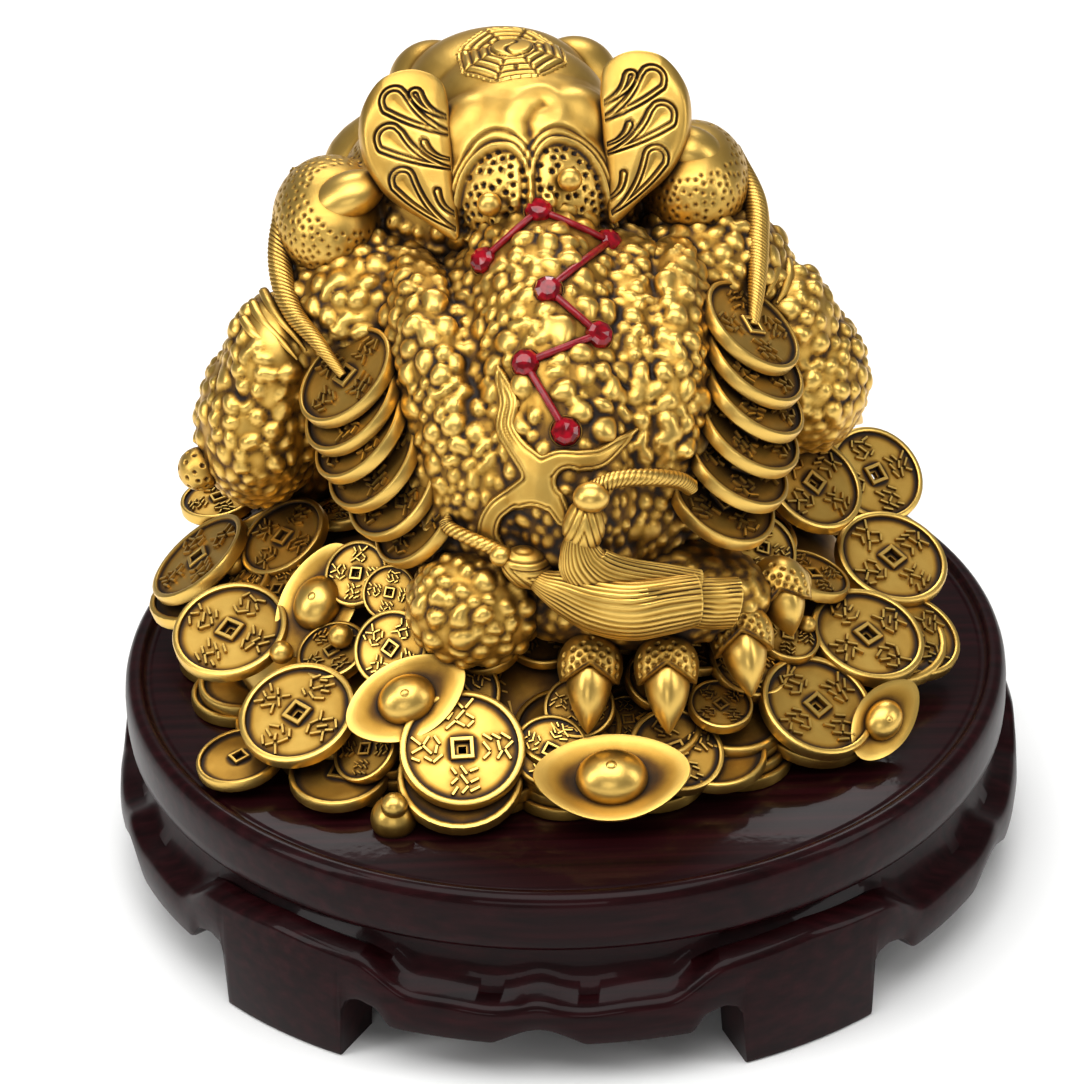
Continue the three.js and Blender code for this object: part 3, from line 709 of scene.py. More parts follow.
def flame_relief(right, up):
    """A flat ribbon with an engraved line inside its edge, and two more along the upper stem."""
    up = up + FLAME_MIDDLE
    inside = flame_depth(right, up)
    stem = step_up(up, 66, 6) * step_up(-right, 4, 4)
    lines = groove(inside - 1.1, 0.36, 0.65) + stem * groove(inside - 2.3, 0.36, 0.5)
    return np.where(inside > -0.7, 2.0 * step_up(inside, 0.1, 0.9) - lines, -1.0)


def clipped(form, floor):
    """Cuts a form off flat, below a height, and closes each cut."""
    cut = bmesh.ops.bisect_plane(
        form, geom=form.verts[:] + form.edges[:] + form.faces[:], plane_co=(0, 0, floor), plane_no=(0, 0, 1),
        clear_inner=True,
    )
    edges = [item for item in cut["geom_cut"] if isinstance(item, bmesh.types.BMEdge)]
    bmesh.ops.contextual_create(form, geom=edges)


def clipped_eggs(parts):
    """A form of eggs, each cut off where the heap hides it."""
    form = bmesh.new()
    for part in parts:
        single = bmesh.new()
        egg(single, *part)
        clipped(single, HIDDEN_BELOW)
        copied(form, mesh_of(single))
    return form


# About one wart in four has a smaller one grown on to its side
TWIN_SHARE = 0.28
TWIN_ASIDE = 1.1
TWIN_SIZE = 0.85
BARE_ROUND_GEM = 6.4
BARE_BESIDE_LINE = 3


def warted(mesh, allowed, small, large, rise, seed, overlap=0.9):
    """Lifts warts out of a skin, wherever allowed."""
    points = coordinates(mesh)
    normals = evened(mesh, outward(mesh), 6)
    normals /= np.linalg.norm(normals, axis=1)[:, None]
    centres, sizes = scattered(points, allowed, small, large, overlap, 40000, seed)
    chance = np.random.default_rng(seed + 2)
    twins = chance.random(len(sizes)) < TWIN_SHARE
    aside = chance.normal(size=(int(twins.sum()), 3))
    aside *= TWIN_ASIDE * sizes[twins, None] / np.linalg.norm(aside, axis=1)[:, None]
    centres = np.vstack([centres, centres[twins] + aside])
    sizes = np.append(sizes, sizes[twins] * TWIN_SIZE)
    lift = warts(points, centres, sizes, rise, seed + 1)
    lift = evened(mesh, lift[:, None], 1)[:, 0]
    move_to(mesh, points + normals * lift[:, None])


def smooth_back():
    """The back and flanks before they get their warts."""
    return fused(clipped_eggs(BACK_EGGS), bpy.context.scene.money_toad_sizes.skin_step, 10)


def back_skin():
    """The warted back, bare under the flame, round the stones and along the painted line."""
    sizes = bpy.context.scene.money_toad_sizes
    mesh = smooth_back()
    points = coordinates(mesh)
    seen = points @ np.array(FROM_BEHIND.to_3x3())
    clear = (points[:, 1] < 20) | (flame_depth(seen[:, 0], seen[:, 1]) < -1.3)
    for seat in gem_points():
        clear &= np.linalg.norm(points - seat, axis=1) > BARE_ROUND_GEM
    clear &= far_from(points, [line[::8] for line in enamel_lines(mesh)]) > BARE_BESIDE_LINE
    rump = (points[:, 1] > 50) & (points[:, 2] < 106)
    ornament = draped(mesh, FLAME_PLACE, *FLAME_SHEET, flame_relief)
    brass_piece("flame_ornament", ornament, rounds=4, depth=0.3)
    warted(mesh, clear & ~rump, sizes.wart_small * 0.9, sizes.wart_large, 0.6, seed=7, overlap=0.92)
    warted(mesh, clear & rump, 1.5, 3.2, 0.45, seed=11, overlap=1.0)
    return mesh


RIDGE_CENTRE, RIDGE_HALF, RIDGE_TURN = BACK_EGGS[1]
GEM_PLACES = [(21.5, 3.5), (4, -7), (-17.5, -7.5), (2, 25), (-13, 35), (9.5, 43.5), (-2, 60.5)]


def on_ridge(x, y):
    """A point of the smooth ridge straight above x and y, with the outward direction there."""
    to_casting = turned(RIDGE_TURN).to_3x3()
    squash = Matrix.Diagonal([1 / half for half in RIDGE_HALF])
    start = squash @ (to_casting.transposed() @ (Vector((x, y, 0)) - Vector(RIDGE_CENTRE)))
    rise = squash @ (to_casting.transposed() @ Vector((0, 0, 1)))
    a, b, c = rise.dot(rise), start.dot(rise), start.dot(start) - 1
    height = (-b + math.sqrt(b * b - a * c)) / a
    normal = to_casting @ (squash @ (start + rise * height))
    return Vector((x, y, height)), normal.normalized()


def gem_points():
    """The seats of the stones on the smooth ridge, one row for each."""
    return np.array([on_ridge(x, y)[0] for x, y in GEM_PLACES])


def make_back():
    skin = back_skin()
    # Painted darker towards the rump than on the back
    bare = 0.52 - 0.33 * step_up(coordinates(skin)[:, 1], 58, 28)
    brass_piece("back_and_flanks", skin, rounds=10, depth=0.5, bare=bare)


# Arms

# The curls are fins at the elbow
ARMS = {
    "left": {
        "side": 1, "middle": (96, -22, 85.5), "half": (21, 27, 37), "foot": (96, -66, 35),
        "curls": [
            [(93, -26, 123), (90.5, -18, 122), (87, -12, 119.5), (83, -7, 117), (79, -1, 114)],
            [(96.5, -22, 121), (94, -15, 119.5), (90.5, -10, 117.5), (86.5, -6, 114.5), (82, -1, 111)],
            [(99.5, -17, 118), (96.5, -11, 116.5), (92.5, -7, 114), (88, -3, 110)],
        ],
    },
    "right": {
        "side": -1, "middle": (-80, -24, 94), "half": (21, 26, 33), "foot": (-78, -68, 36),
        "curls": [
            [(-70, -25, 131.5), (-70.5, -18, 130), (-69.5, -12, 128), (-67, -6, 126)],
            [(-75, -26, 128), (-75, -19, 126.5), (-73.5, -13, 124.5), (-70.5, -7, 122.5)],
        ],
    },
}
TOE_SPREADS = (-32, -6, 20, 46)
TOE_REACH = 20
BARE_BESIDE_CURL = 2.9


def arm_skin(side, middle, half, foot, curls, seed):
    """A warted arm and foot, bare along its curls."""
    x, y, z = foot
    form = bmesh.new()
    low, high = Vector(middle) - Vector((0, 0, 7)), Vector(middle) + Vector((-side * 5, 2, 13))
    egg(form, low, (half[0], half[1], half[2] - 8), (8, side * -8, 0))
    egg(form, high, (half[0] - 5, half[1] - 6, half[2] - 13), (8, side * -8, 0))
    egg(form, (x - side * 8, y + 22, z + 20), (18, 24, 26))
    egg(form, (x, y + 4, z + 4), (18, 20, 11), (0, 0, side * -20))
    for spread in TOE_SPREADS:
        bearing = math.radians(-90 + side * spread)
        toe = (x + TOE_REACH * math.cos(bearing), y + TOE_REACH * math.sin(bearing), z + 1)
        egg(form, toe, (11, 6, 6.5), (0, 0, -90 + side * spread))
    mesh = fused(form, 0.85, 8)
    points = coordinates(mesh)
    upper = (points[:, 2] > z + 14) & (points[:, 1] > y + 4)
    clear = far_from(points, [smooth_line(line, 8) for line in curls]) > BARE_BESIDE_CURL
    high = points[:, 2] > middle[2] - 11
    sizes = bpy.context.scene.money_toad_sizes
    warted(mesh, upper & clear & high, sizes.wart_small, sizes.wart_large * 0.92, 0.62, seed, overlap=1.04)
    warted(mesh, upper & clear & ~high, 1.3, 2.6, 0.5, seed + 9, overlap=1.0)
    return mesh


def front_claws(form, side, foot):
    """A claw at the end of each front toe, pointing down."""
    for spread in TOE_SPREADS:
        bearing = math.radians(-90 + side * spread)
        way = Vector((math.cos(bearing), math.sin(bearing), 0))
        joint = Vector(foot) + way * (TOE_REACH + 7)
        tip = joint + way * 11 + Vector((0, 0, -7))
        claw(form, joint, tip, 4.6)


def claw(form, joint, tip, radius):
    """A plump pointed claw with a soft ridge along its middle."""
    line = smooth_line([joint, joint.lerp(tip, 0.55) + Vector((0, 0, 1.2)), tip], 22)

    def section(share, angle):
        width = radius * (1 - share**1.7) ** 0.8 * (0.75 + 0.5 * share * (1 - share)) + 0.15
        ridge = 1 + 0.22 * max(0, math.sin(angle)) ** 6
        return width * math.cos(angle), width * math.sin(angle) * ridge

    swept(form, line, section, 24)


def curl(form, line):
    """A smooth curled fin with a groove on each side of its middle."""

    def section(share, angle):
        width = 1.7 * math.sin(math.pi * min(0.98, 0.3 + 0.7 * share)) ** 0.7 + 0.2
        lines = 1 - 0.14 * max(0, math.cos(3 * angle - math.pi / 2)) ** 4
        return width * math.cos(angle) * lines, 0.75 * width * math.sin(angle) * lines

    swept(form, smooth_line(line, 30), section, 24)


TOE_BALL = (116.5, -12, 66)


def stippled_ball(centre, radius, holes, seed):
    """A smooth ball punched with small round holes."""
    mesh = ball_mesh(34)
    unit = coordinates(mesh)
    spots, _ = scattered(unit * radius, unit[:, 1] > -2, holes, holes, 1.4, 9000, seed)
    drop = pits(unit * radius, spots, holes * 0.75, 0.8)
    move_to(mesh, unit * (radius - drop)[:, None])
    mesh.transform(Matrix.Translation(centre))
    return mesh


def make_arms():
    for seed, (name, arm) in enumerate(ARMS.items()):
        skin = arm_skin(**arm, seed=31 + seed)
        # The arms are painted darker towards the bottom
        bare = 0.34 + 0.18 * step_up(coordinates(skin)[:, 2], 78, 30)
        brass_piece(name + "_arm", skin, bare=bare)
    form = bmesh.new()
    for arm in ARMS.values():
        front_claws(form, arm["side"], arm["foot"])
        for line in arm["curls"]:
            curl(form, line)
    copied(form, stippled_ball(TOE_BALL, 7.2, 1.1, 8))
    brass_piece("front_claws_and_elbow_curls", mesh_of(form), rounds=4, depth=0.4)


# Head

HEAD_EGGS = [
    [(13, -62, 137.5), (57, 45, 37), (0, 0, 6)],
    [(6, -38, 150), (33, 33, 29), (8, 0, 6)],
    [(16, -72, 171), (30, 24, 18.3), (0, 0, 6)],
    [(71, -42, 139.5), (19, 25, 20), (0, 0, 0)],
    [(-46, -42, 149), (18, 24, 19), (0, 0, 0)],
    [(37, -84, 166.5), (15, 14, 15), (0, 0, 0)],
    [(-9, -88, 164.5), (15, 14, 15), (0, 0, 0)],
    [(21, -92, 137.5), (54, 25, 24), (0, 0, 8)],
    [(20, -84, 117.5), (50, 28, 19), (0, 0, 8)],
    [(7.5, -46, 154.5), (35, 30, 33), (0, 0, 4)],
    [(10, -58, 167.5), (30, 26, 22.5), (0, 0, 6)],
    [(20, -40, 164.4), (19, 14.5, 19.5), (0, 0, 0)],
    [(-5, -41, 165.2), (19, 14.5, 19.5), (0, 0, 0)],
]
CHEEK_BOSSES = [
    {"at": (65, -31, 153), "half": (13, 9, 7.5), "turn": (0, 22, 0)},
    {"at": (-45, -36, 163), "half": (11, 9, 7.5), "turn": (0, -22, 0)},
]
# The two arches at the dome's lower edge, seen from above: middle, half width and reach towards the plate
ARCHES = [
    {"middle": (20, -9), "half": 13.2, "reach": 13.5, "boss": (19.5, -8, 160)},
    {"middle": (-7.2, -10.5), "half": 13, "reach": 13, "boss": (-6, -10.5, 166.5)},
]
ARCH_FRONT = -34  # the dome in front of this is outside both arches
ARCH_BOSS_HALF = (3.9, 3.6, 3.9)
DOME_PARTING = [(1.5, -32, 0), (4, -30, 0), (6.4, -26.5, 0), (5.8, -22, 0), (6, -12, 0)]  # seen from above
NOSTRILS = [(31, -115.5, 147), (11, -116, 147)]
EYES = [centre for centre, _, _ in HEAD_EGGS[5:7]]
MOUTH_HEIGHT = 127


def arch_share(points, arch):
    """1 on an arch, less inside it and more outside, in a plan view."""
    across = (points[:, 0] - arch["middle"][0]) / arch["half"]
    along = np.minimum(points[:, 1] - arch["middle"][1], 0) / arch["reach"]
    return np.hypot(across, along)


def head_skin():
    """The head with its smooth dome, punched arches, stippled cheeks, warted neck and carved face."""
    form = bmesh.new()
    for centre, half, turn in HEAD_EGGS:
        egg(form, centre, half, turn)
    mesh = fused(form, 0.66, 16)
    points = coordinates(mesh)
    normals = outward(mesh)
    sink = np.zeros(len(points))
    dome = (points[:, 1] > ARCH_FRONT) & (points[:, 2] > 146) & (abs(points[:, 0] - 6) < 32)
    inside = np.zeros(len(points), bool)
    for arch in ARCHES:
        share = arch_share(points, arch)
        apart = (share - 1) * arch["half"]
        sink += np.where(dome, 2.2 * (1 - step_up(apart, -0.4, 1.2)), 0)
        sink += np.where(dome, groove(apart - 1.3, 0.45, 0.8) + groove(apart - 3.6, 0.45, 0.6), 0)
        boss = np.array(arch["boss"])
        clear = np.linalg.norm(points - boss, axis=1) > 5.6
        inside |= dome & (apart < -1.2) & clear & (points[:, 1] < arch["middle"][1] + 2.5)
    holes, _ = scattered(points, inside, 1.45, 1.6, 1.0, 30000, seed=3)
    sink += pits(points, holes, 1.0, 1.3)
    parting = far_from(points * (1, 1, 0), [np.array(DOME_PARTING, float)])
    sink += np.where(points[:, 2] > 150, groove(parting, 1.5, 0.8) - groove(parting - 6, 3, 0.7), 0)
    cheeks = np.zeros(len(points), bool)
    for centre, half, _ in HEAD_EGGS[3:5]:
        cheeks |= np.linalg.norm((points - centre) / (np.array(half) * 1.25), axis=1) < 1
    neck = (points[:, 1] > ARCH_FRONT) & ((points[:, 1] > -8) | (points[:, 2] < 146)) & ~cheeks
    for boss in CHEEK_BOSSES:
        cheeks &= np.linalg.norm(points - boss["at"], axis=1) > 13
    dots, _ = scattered(points, cheeks, 1.0, 1.5, 1.02, 30000, seed=5)
    sink += pits(points, dots, 0.75, 0.5)
    sink += face_carving(points)
    move_to(mesh, points - normals * sink[:, None])
    neck &= far_from(points, [gem_points()[:3]]) > 4.5
    warted(mesh, neck, 1.8, 3.6, 0.6, seed=19, overlap=0.95)
    return mesh


def face_carving(points):
    """A plain toad's face: one wide mouth, two nostrils and the rims round its eyes."""
    front = points[:, 1] < -70
    waved = MOUTH_HEIGHT + 2.5 * np.cos((points[:, 0] - 20) / 14) - 0.0016 * (points[:, 0] - 20) ** 2
    sink = np.where(front, groove(points[:, 2] - waved, 1.3, 2.4), 0)
    sink -= np.where(front, groove(np.abs(points[:, 2] - waved) - 4, 2.0, 1.0), 0)
    for nostril in NOSTRILS:
        apart = np.linalg.norm(points - nostril, axis=1)
        sink += groove(apart, 2.4, 2.6) - groove(apart - 5, 1.5, 0.8)
    for eye in EYES:
        way = points - eye
        apart = np.linalg.norm(way, axis=1)
        ring = np.hypot(way[:, 0], way[:, 2] - 1)
        facing = (way[:, 1] < -4) & (apart < 22)
        sink += np.where(facing, groove(ring - 8.5, 0.8, 1.1) + groove(ring - 3.2, 0.6, 0.8), 0)
    return sink


# Ears, each drawn in its own upright oval of -1 to 1 either way
EARS = {
    "left": {
        "low": (29, -7, 147), "high": (51, -37, 189), "spread": 16, "face": (0.35, 0.85, 0.4), "outer": 1,
    },
    "right": {
        "low": (-18, -9, 150), "high": (-35, -38, 193.5), "spread": 15.5, "face": (-0.35, 0.85, 0.4),
        "outer": -1,
    },
}
# The outline of an ear and the drops carved on it, in (outward, up)
EAR_OUTLINE = [
    (0, -0.96), (0.44, -0.62), (0.93, -0.2), (1.04, 0.26), (0.74, 0.66), (0.1, 0.9), (-0.55, 0.88),
    (-0.95, 0.66), (-0.9, 0.36), (-0.7, 0.02), (-0.5, -0.3), (-0.27, -0.66),
]
EAR_TUCK = 7.0  # how far the inner part sinks towards the head
EAR_BACK = 6.0  # how far the ears are set back, away from the viewer behind
EAR_DROPS = [
    {"head": (-0.1, 0.64), "tail": (-0.85, 0.02), "size": (0.28, 0.02)},
    {"head": (0.27, 0.3), "tail": (-0.5, -0.26), "size": (0.29, 0.02)},
    {"head": (0.38, -0.16), "tail": (-0.1, -0.86), "size": (0.26, 0.02)},
    {"head": (-0.5, 0.6), "tail": (-0.9, 0.2), "size": (0.13, 0.02)},
    {"head": (-0.28, 0.1), "tail": (-0.62, -0.2), "size": (0.06, 0.02)},
    {"head": (-0.12, -0.42), "tail": (-0.3, -0.78), "size": (0.06, 0.02)},
]


def from_drop(across, along, drop, tall):
    """Distance, in half widths, from the outline of a drop with a round head and a thin curved tail."""
    (hx, hy), (tx, ty) = drop["head"], drop["tail"]
    big, small = drop["size"]
    bend = 0.10 * np.sin(np.pi * np.clip((hy - along) / (hy - ty), 0, 1))
    way = np.array([tx - hx, (ty - hy) * tall])
    px, py = across - hx - bend, (along - hy) * tall
    share = np.clip((px * way[0] + py * way[1]) / (way @ way), 0, 1)
    return np.hypot(px - share * way[0], py - share * way[1]) - (big + (small - big) * share**0.9)


def ear_mesh(low, high, spread, face, outer):
    """A fleshy leaf: a smooth rolled outer fold, and drops with double outlines nearer the head."""
    low, high = Vector(low), Vector(high)
    up = (high - low).normalized()
    front = Vector(face)
    front = (front - up * front.dot(up)).normalized()
    across = front.cross(up)
    tall = (high - low).length * 0.54
    middle = low.lerp(high, 0.55) + front * 1.5 - TO_VIEWER * EAR_BACK
    place = basis(across, front, up, middle)
    form = bmesh.new()
    copied(form, ball_mesh(int(50 / COARSER)))
    ahead = [edge for edge in form.edges if all(vertex.co.y > 0.25 for vertex in edge.verts)]
    bmesh.ops.subdivide_edges(form, edges=ahead, cuts=1, use_grid_fill=True)
    for vertex in form.verts:
        vertex.co.normalize()
    mesh = mesh_of(form)
    unit = coordinates(mesh)
    outline = smooth_line([*EAR_OUTLINE[-2:], *EAR_OUTLINE, *EAR_OUTLINE[:2]], 160)
    turns = np.arctan2(outline[:, 1], outline[:, 0])
    order = np.argsort(turns)
    reach = np.hypot(unit[:, 0], unit[:, 2])
    angle = np.arctan2(unit[:, 2], unit[:, 0])
    edge = np.interp(angle, turns[order], np.hypot(*outline.T)[order], period=2 * np.pi)
    u, v = reach * edge * np.cos(angle), reach * edge * np.sin(angle)
    # The outer fold is thick; the inner part sinks towards the head
    fold = step_up(u, 0.3, 0.9)
    front_side = unit[:, 1] > 0
    depth = unit[:, 1] * np.where(front_side, 3.2 + 4.2 * fold, 4.5)
    depth += np.where(front_side, 1.6 * groove(reach - 0.8, 0.15, 1.0) * (0.3 + 0.7 * fold), 0)
    depth -= EAR_TUCK * np.clip(-u, 0, 2) ** 1.3
    for drop in EAR_DROPS:
        apart = from_drop(u, v, drop, tall / spread) * spread
        lines = groove(apart, 0.36, 0.95) + groove(apart + 1.5, 0.33, 0.7) - groove(apart + 0.75, 0.4, 0.4)
        hollow = 0.5 * np.clip(-(apart + 2) / 2.5, 0, 1)
        depth -= np.where(front_side & (reach < 0.95), lines + hollow, 0)
    way = 1 if across.x * outer > 0 else -1
    points = np.stack([u * spread * way, depth, v * tall], 1)
    move_to(mesh, points)
    if way < 0:
        mesh.flip_normals()
    mesh.transform(place)
    return mesh


# The trigram plate, in millimetres from its middle: where each row of bars ends, and which sides break
PLATE_PLACE = (11, -59.5)
PLATE_TURN = 22.5 + 6
PLATE_REACH = 16.8
PLATE_ROWS = (7.6, 10.4, 13.2, 16.0)
PLATE_DISC = 6.6


def plate_relief(right, up):
    """Eight sides of three bars, some broken, round a disc with an S in it."""
    turn = math.radians(PLATE_TURN)
    x = right * math.cos(turn) + up * math.sin(turn)
    y = up * math.cos(turn) - right * math.sin(turn)
    angle = np.degrees(np.arctan2(y, x)) % 360
    side = np.floor(angle / 45).astype(int)
    middle = np.radians(side * 45 + 22.5)
    out = x * np.cos(middle) + y * np.sin(middle)
    along = np.abs(y * np.cos(middle) - x * np.sin(middle))
    height = np.full(len(x), 1.0)
    height[out > PLATE_REACH] = -1
    for row, edge in enumerate(PLATE_ROWS):
        height -= groove(out - edge, 0.5, 0.85)
        gap = ((side * (row + 3) + row) % 5 == 1) & (out > edge) & (out < edge + 2.8) & (row < 3)
        height -= np.where(gap, groove(along, 0.5, 0.9), 0)
    corner = out * math.tan(math.radians(22.5)) - along
    height -= np.where((out > PLATE_ROWS[0]) & (out < PLATE_REACH), groove(corner, 0.45, 0.7), 0)
    reach = np.hypot(x, y)
    height += np.where(reach < PLATE_DISC, 0.5, 0) - groove(reach - PLATE_DISC, 0.4, 0.7)
    half = PLATE_DISC / 2
    curve = np.where(y > 0, np.abs(np.hypot(x, y - half) - half), np.abs(np.hypot(x, y + half) - half))
    shown = np.where(y > 0, x > 0, x < 0) & (reach < PLATE_DISC)
    return height - np.where(shown, groove(curve, 0.45, 0.8), 0)


def boss_mesh():
    """The smooth bosses on the cheeks and in the arches."""
    form = bmesh.new()
    for boss in CHEEK_BOSSES:
        ball(form, 14, placed(**boss))
    for arch in ARCHES:
        ball(form, 12, placed(arch["boss"], ARCH_BOSS_HALF))
    return mesh_of(form)


def make_head():
    skin = head_skin()
    crown = Matrix.Translation((*PLATE_PLACE, 0)) @ Matrix.Rotation(math.radians(180), 4, "Z")
    plate = draped(skin, crown, 19, 0.34, plate_relief)
    brass_piece("crown_plate", plate, rounds=3, depth=0.25)
    brass_piece("head", skin, rounds=8, depth=0.5)
    brass_piece("head_bosses", boss_mesh(), rounds=3, depth=0.3)
    for name, ear in EARS.items():
        brass_piece(name + "_ear", ear_mesh(**ear), rounds=8, depth=0.4)


# Coins

COIN_RADIUS = 18.9
BIG_COIN_RADIUS = 19.6
STRING_COIN_RADIUS = 18.2
SMALL_COIN_RADIUS = 10.2
COIN_THICKNESS = 4.6
COIN_SINK = 1.2

# Middle of the upper face, the bearing it leans to, the lean, the radius and its turn in its own plane
LAID_COINS = [
    (120, -12, 33.5, 2, 35, COIN_RADIUS, 10),
    (107, 34, 33.5, 66, 22, COIN_RADIUS, -12),
    (85, 69, 23.5, 62, 25, COIN_RADIUS, -14),
    (33, 91, 22.5, 93, 34, BIG_COIN_RADIUS, 0),
    (-79, 68, 19.5, 132, 29, COIN_RADIUS, 8),
    (-97, 38, 26.5, 131, 23, COIN_RADIUS, 4),
    (-108, -1, 31.5, 127, 25, COIN_RADIUS, 12),
    (-105, -31, 45.5, 125, 40, 17.2, 0),
    (91, -3, 45.5, 28, 31, 15.8, 15),
    (55, 62, 41.5, 63, 47, 12.5, -20),
    (55, 45, 51.5, 68, 49, 9.1, 0),
    (15, 68, 21.5, 108, 33, 17, 0),
    (-19, 76, 21.5, 96, 14, SMALL_COIN_RADIUS, 0),
    (-48, 75, 25.5, 112, 17, SMALL_COIN_RADIUS, 20),
    (-112, 26, 18.5, 137, 26, 17, 0),
    (-83, -6, 57.5, 135, 38, 17.5, 20),
    (114, -44, 37.5, 20, 8, 13, 0),
    (33, 70, 30, 100, 42, 12.5, 30),
    (66, 30, 50, 60, 45, 11, 10),
    (-64, 30, 55, 130, 40, 12, 50),
]
UNDER_COINS = [
    (34, 93, 13.5, 93, 24, BIG_COIN_RADIUS),
    (104, 70, 8.5, 31, 10, 14),
    (72, 82, 9.5, 70, 8, 16),
    (-46, 82, 12.5, 100, 10, 16),
    (-78, 62, 11.5, 132, 18, BIG_COIN_RADIUS),
    (-102, 26, 18.5, 131, 15, 22),
    (118, -10, 23.5, 2, 18, BIG_COIN_RADIUS),
]
HEAP_CENTRE = (3, -2)
HEAP_HALF = (124, 104)
HEAP_LIP = 9
HEAP_HEIGHT = 66
HEAP_TAIL_SLOPE = 0.87
HEAP_SIDE_SLOPE = 0.48
FAR_COINS = {"count": 5, "first": 214, "step": 28.5, "lean": 32, "reach": (0.93, 0.8), "height": (29, 36)}
STRINGS = [
    {
        "first": (67, 14, 113.5), "last": (46, 43, 79.5), "toward": (23, 31), "lean": (38, 47), "swing": 5,
    },
    {
        "first": (-62.5, 10, 124.5), "last": (-51, 47, 83.5), "toward": (166, 156), "lean": (38, 32),
        "swing": -5,
    },
]
STRING_COINS = 6
MARKED_KINDS = 3  # how many coins differ in their strokes


def coin_master(seed, marked=True, rim_share=1.0):
    """A cash coin of standard radius: round rim, sunk field, raised square frame and, where marked, four
    patches of short slanting strokes that spell nothing."""
    rim = bpy.context.scene.money_toad_sizes.coin_rim * rim_share
    top = COIN_THICKNESS
    field = top - COIN_SINK
    inner = COIN_RADIUS - rim
    rings = [
        (COIN_RADIUS - 0.5, 0, 0), (COIN_RADIUS, 0, 0.6), (COIN_RADIUS, 0, top - 0.9),
        (COIN_RADIUS - 0.35, 0, top - 0.25), (COIN_RADIUS - 1.0, 0, top), (inner + 0.4, 0, top),
        (inner, 0, top - 0.2), (inner - 0.35, 0, field), (inner - 3.0, 0, field - 0.1), (6.5, 0, field),
        (3.75, 1, field), (3.5, 1, top - 0.25), (3.35, 1, top - 0.1), (2.45, 1, top - 0.1),
        (2.3, 1, top - 0.3), (2.25, 1, field - 1.2), (1.2, 1, field - 1.3), (1.2, 1, 0),
    ]
    form = bmesh.new()
    ringed(form, rings, 48 if marked else 32)
    if marked:
        chance = np.random.default_rng(seed)
        for quarter in range(4):
            patch = turned((0, 0, 90 * quarter)) @ Matrix.Translation((10.6, 0, field + 0.35))
            for row in (-3.1, 0, 3.1):
                for column in (-3.0, 0, 3.0):
                    slant = chance.choice((-64, -40, 38, 60)) + 7 * chance.normal()
                    at = Matrix.Translation((row + 0.3 * chance.normal(), column, 0))
                    size = (2.7 + 1.5 * chance.random(), 1.1, 1.35, 1)
                    block(form, patch @ at @ turned((0, 0, slant)) @ Matrix.Diagonal(size))
    return mesh_of(form)


def coin_place(x, y, z, toward, lean, radius, spin=0):
    """The place of a coin whose upper face has its middle at x, y and z. Small coins are thinner too."""
    size = radius / COIN_RADIUS
    thin = min(1, 0.55 + 0.45 * size)
    turn = leaning(toward, lean) @ Matrix.Translation((0, 0, -COIN_THICKNESS * thin))
    grow = Matrix.Diagonal((size, size, thin, 1))
    return Matrix.Translation((x, y, z)) @ turn @ Matrix.Rotation(math.radians(spin), 4, "Z") @ grow


def string_places(string, chance):
    """Coins lying one over the next down the toad's side."""
    places = []
    for index in range(STRING_COINS):
        share = index / (STRING_COINS - 1)
        at = Vector(string["first"]).lerp(Vector(string["last"]), share)
        at.x += string["swing"] * math.sin(math.pi * share)
        toward = string["toward"][0] * (1 - share) + string["toward"][1] * share
        lean = string["lean"][0] * (1 - share) + string["lean"][1] * share
        toward += 5 * chance.normal() * (index > 0)
        places.append(coin_place(*at, toward, lean, STRING_COIN_RADIUS, 25 * chance.normal()))
    return places


def heap_rise(reach, angle):
    """The height of the heap's skin at a share of the way from its middle to its foot."""
    tail = max(0, math.sin(angle)) ** 2
    slope = HEAP_SIDE_SLOPE + (HEAP_TAIL_SLOPE - HEAP_SIDE_SLOPE) * tail
    return HEAP_LIP + (HEAP_HEIGHT - HEAP_LIP) * max(0, 1 - reach) ** slope


def heap_point(reach, angle, lift=0):
    """A point over the heap's skin at a share of the way from its middle to its foot."""
    x = HEAP_CENTRE[0] + HEAP_HALF[0] * reach * math.cos(angle)
    y = HEAP_CENTRE[1] + HEAP_HALF[1] * reach * math.sin(angle)
    return Vector((x, y, heap_rise(reach, angle) + lift))


MOUND_SHARE = 0.87


def heap_mesh():
    """The mound itself, which shows only in the gaps between coins."""
    form = bmesh.new()
    slope = [(0.09 * ring, 60 - ring) for ring in range(11)]
    spun(form, [*slope, (0.99, 1), (0.99, 0), (0, 0)], 120)
    for vertex in form.verts:
        reach = math.hypot(vertex.co.x, vertex.co.y)
        angle = math.atan2(vertex.co.y, vertex.co.x)
        height = 0.2
        if vertex.co.z > 0.5:
            height = max(2, heap_point(min(reach, 0.99), angle, -3 + 2 * noise.noise(vertex.co * 5)).z)
        edge = heap_point(reach * MOUND_SHARE, angle)
        vertex.co = (edge.x, edge.y, height)
    return mesh_of(form)


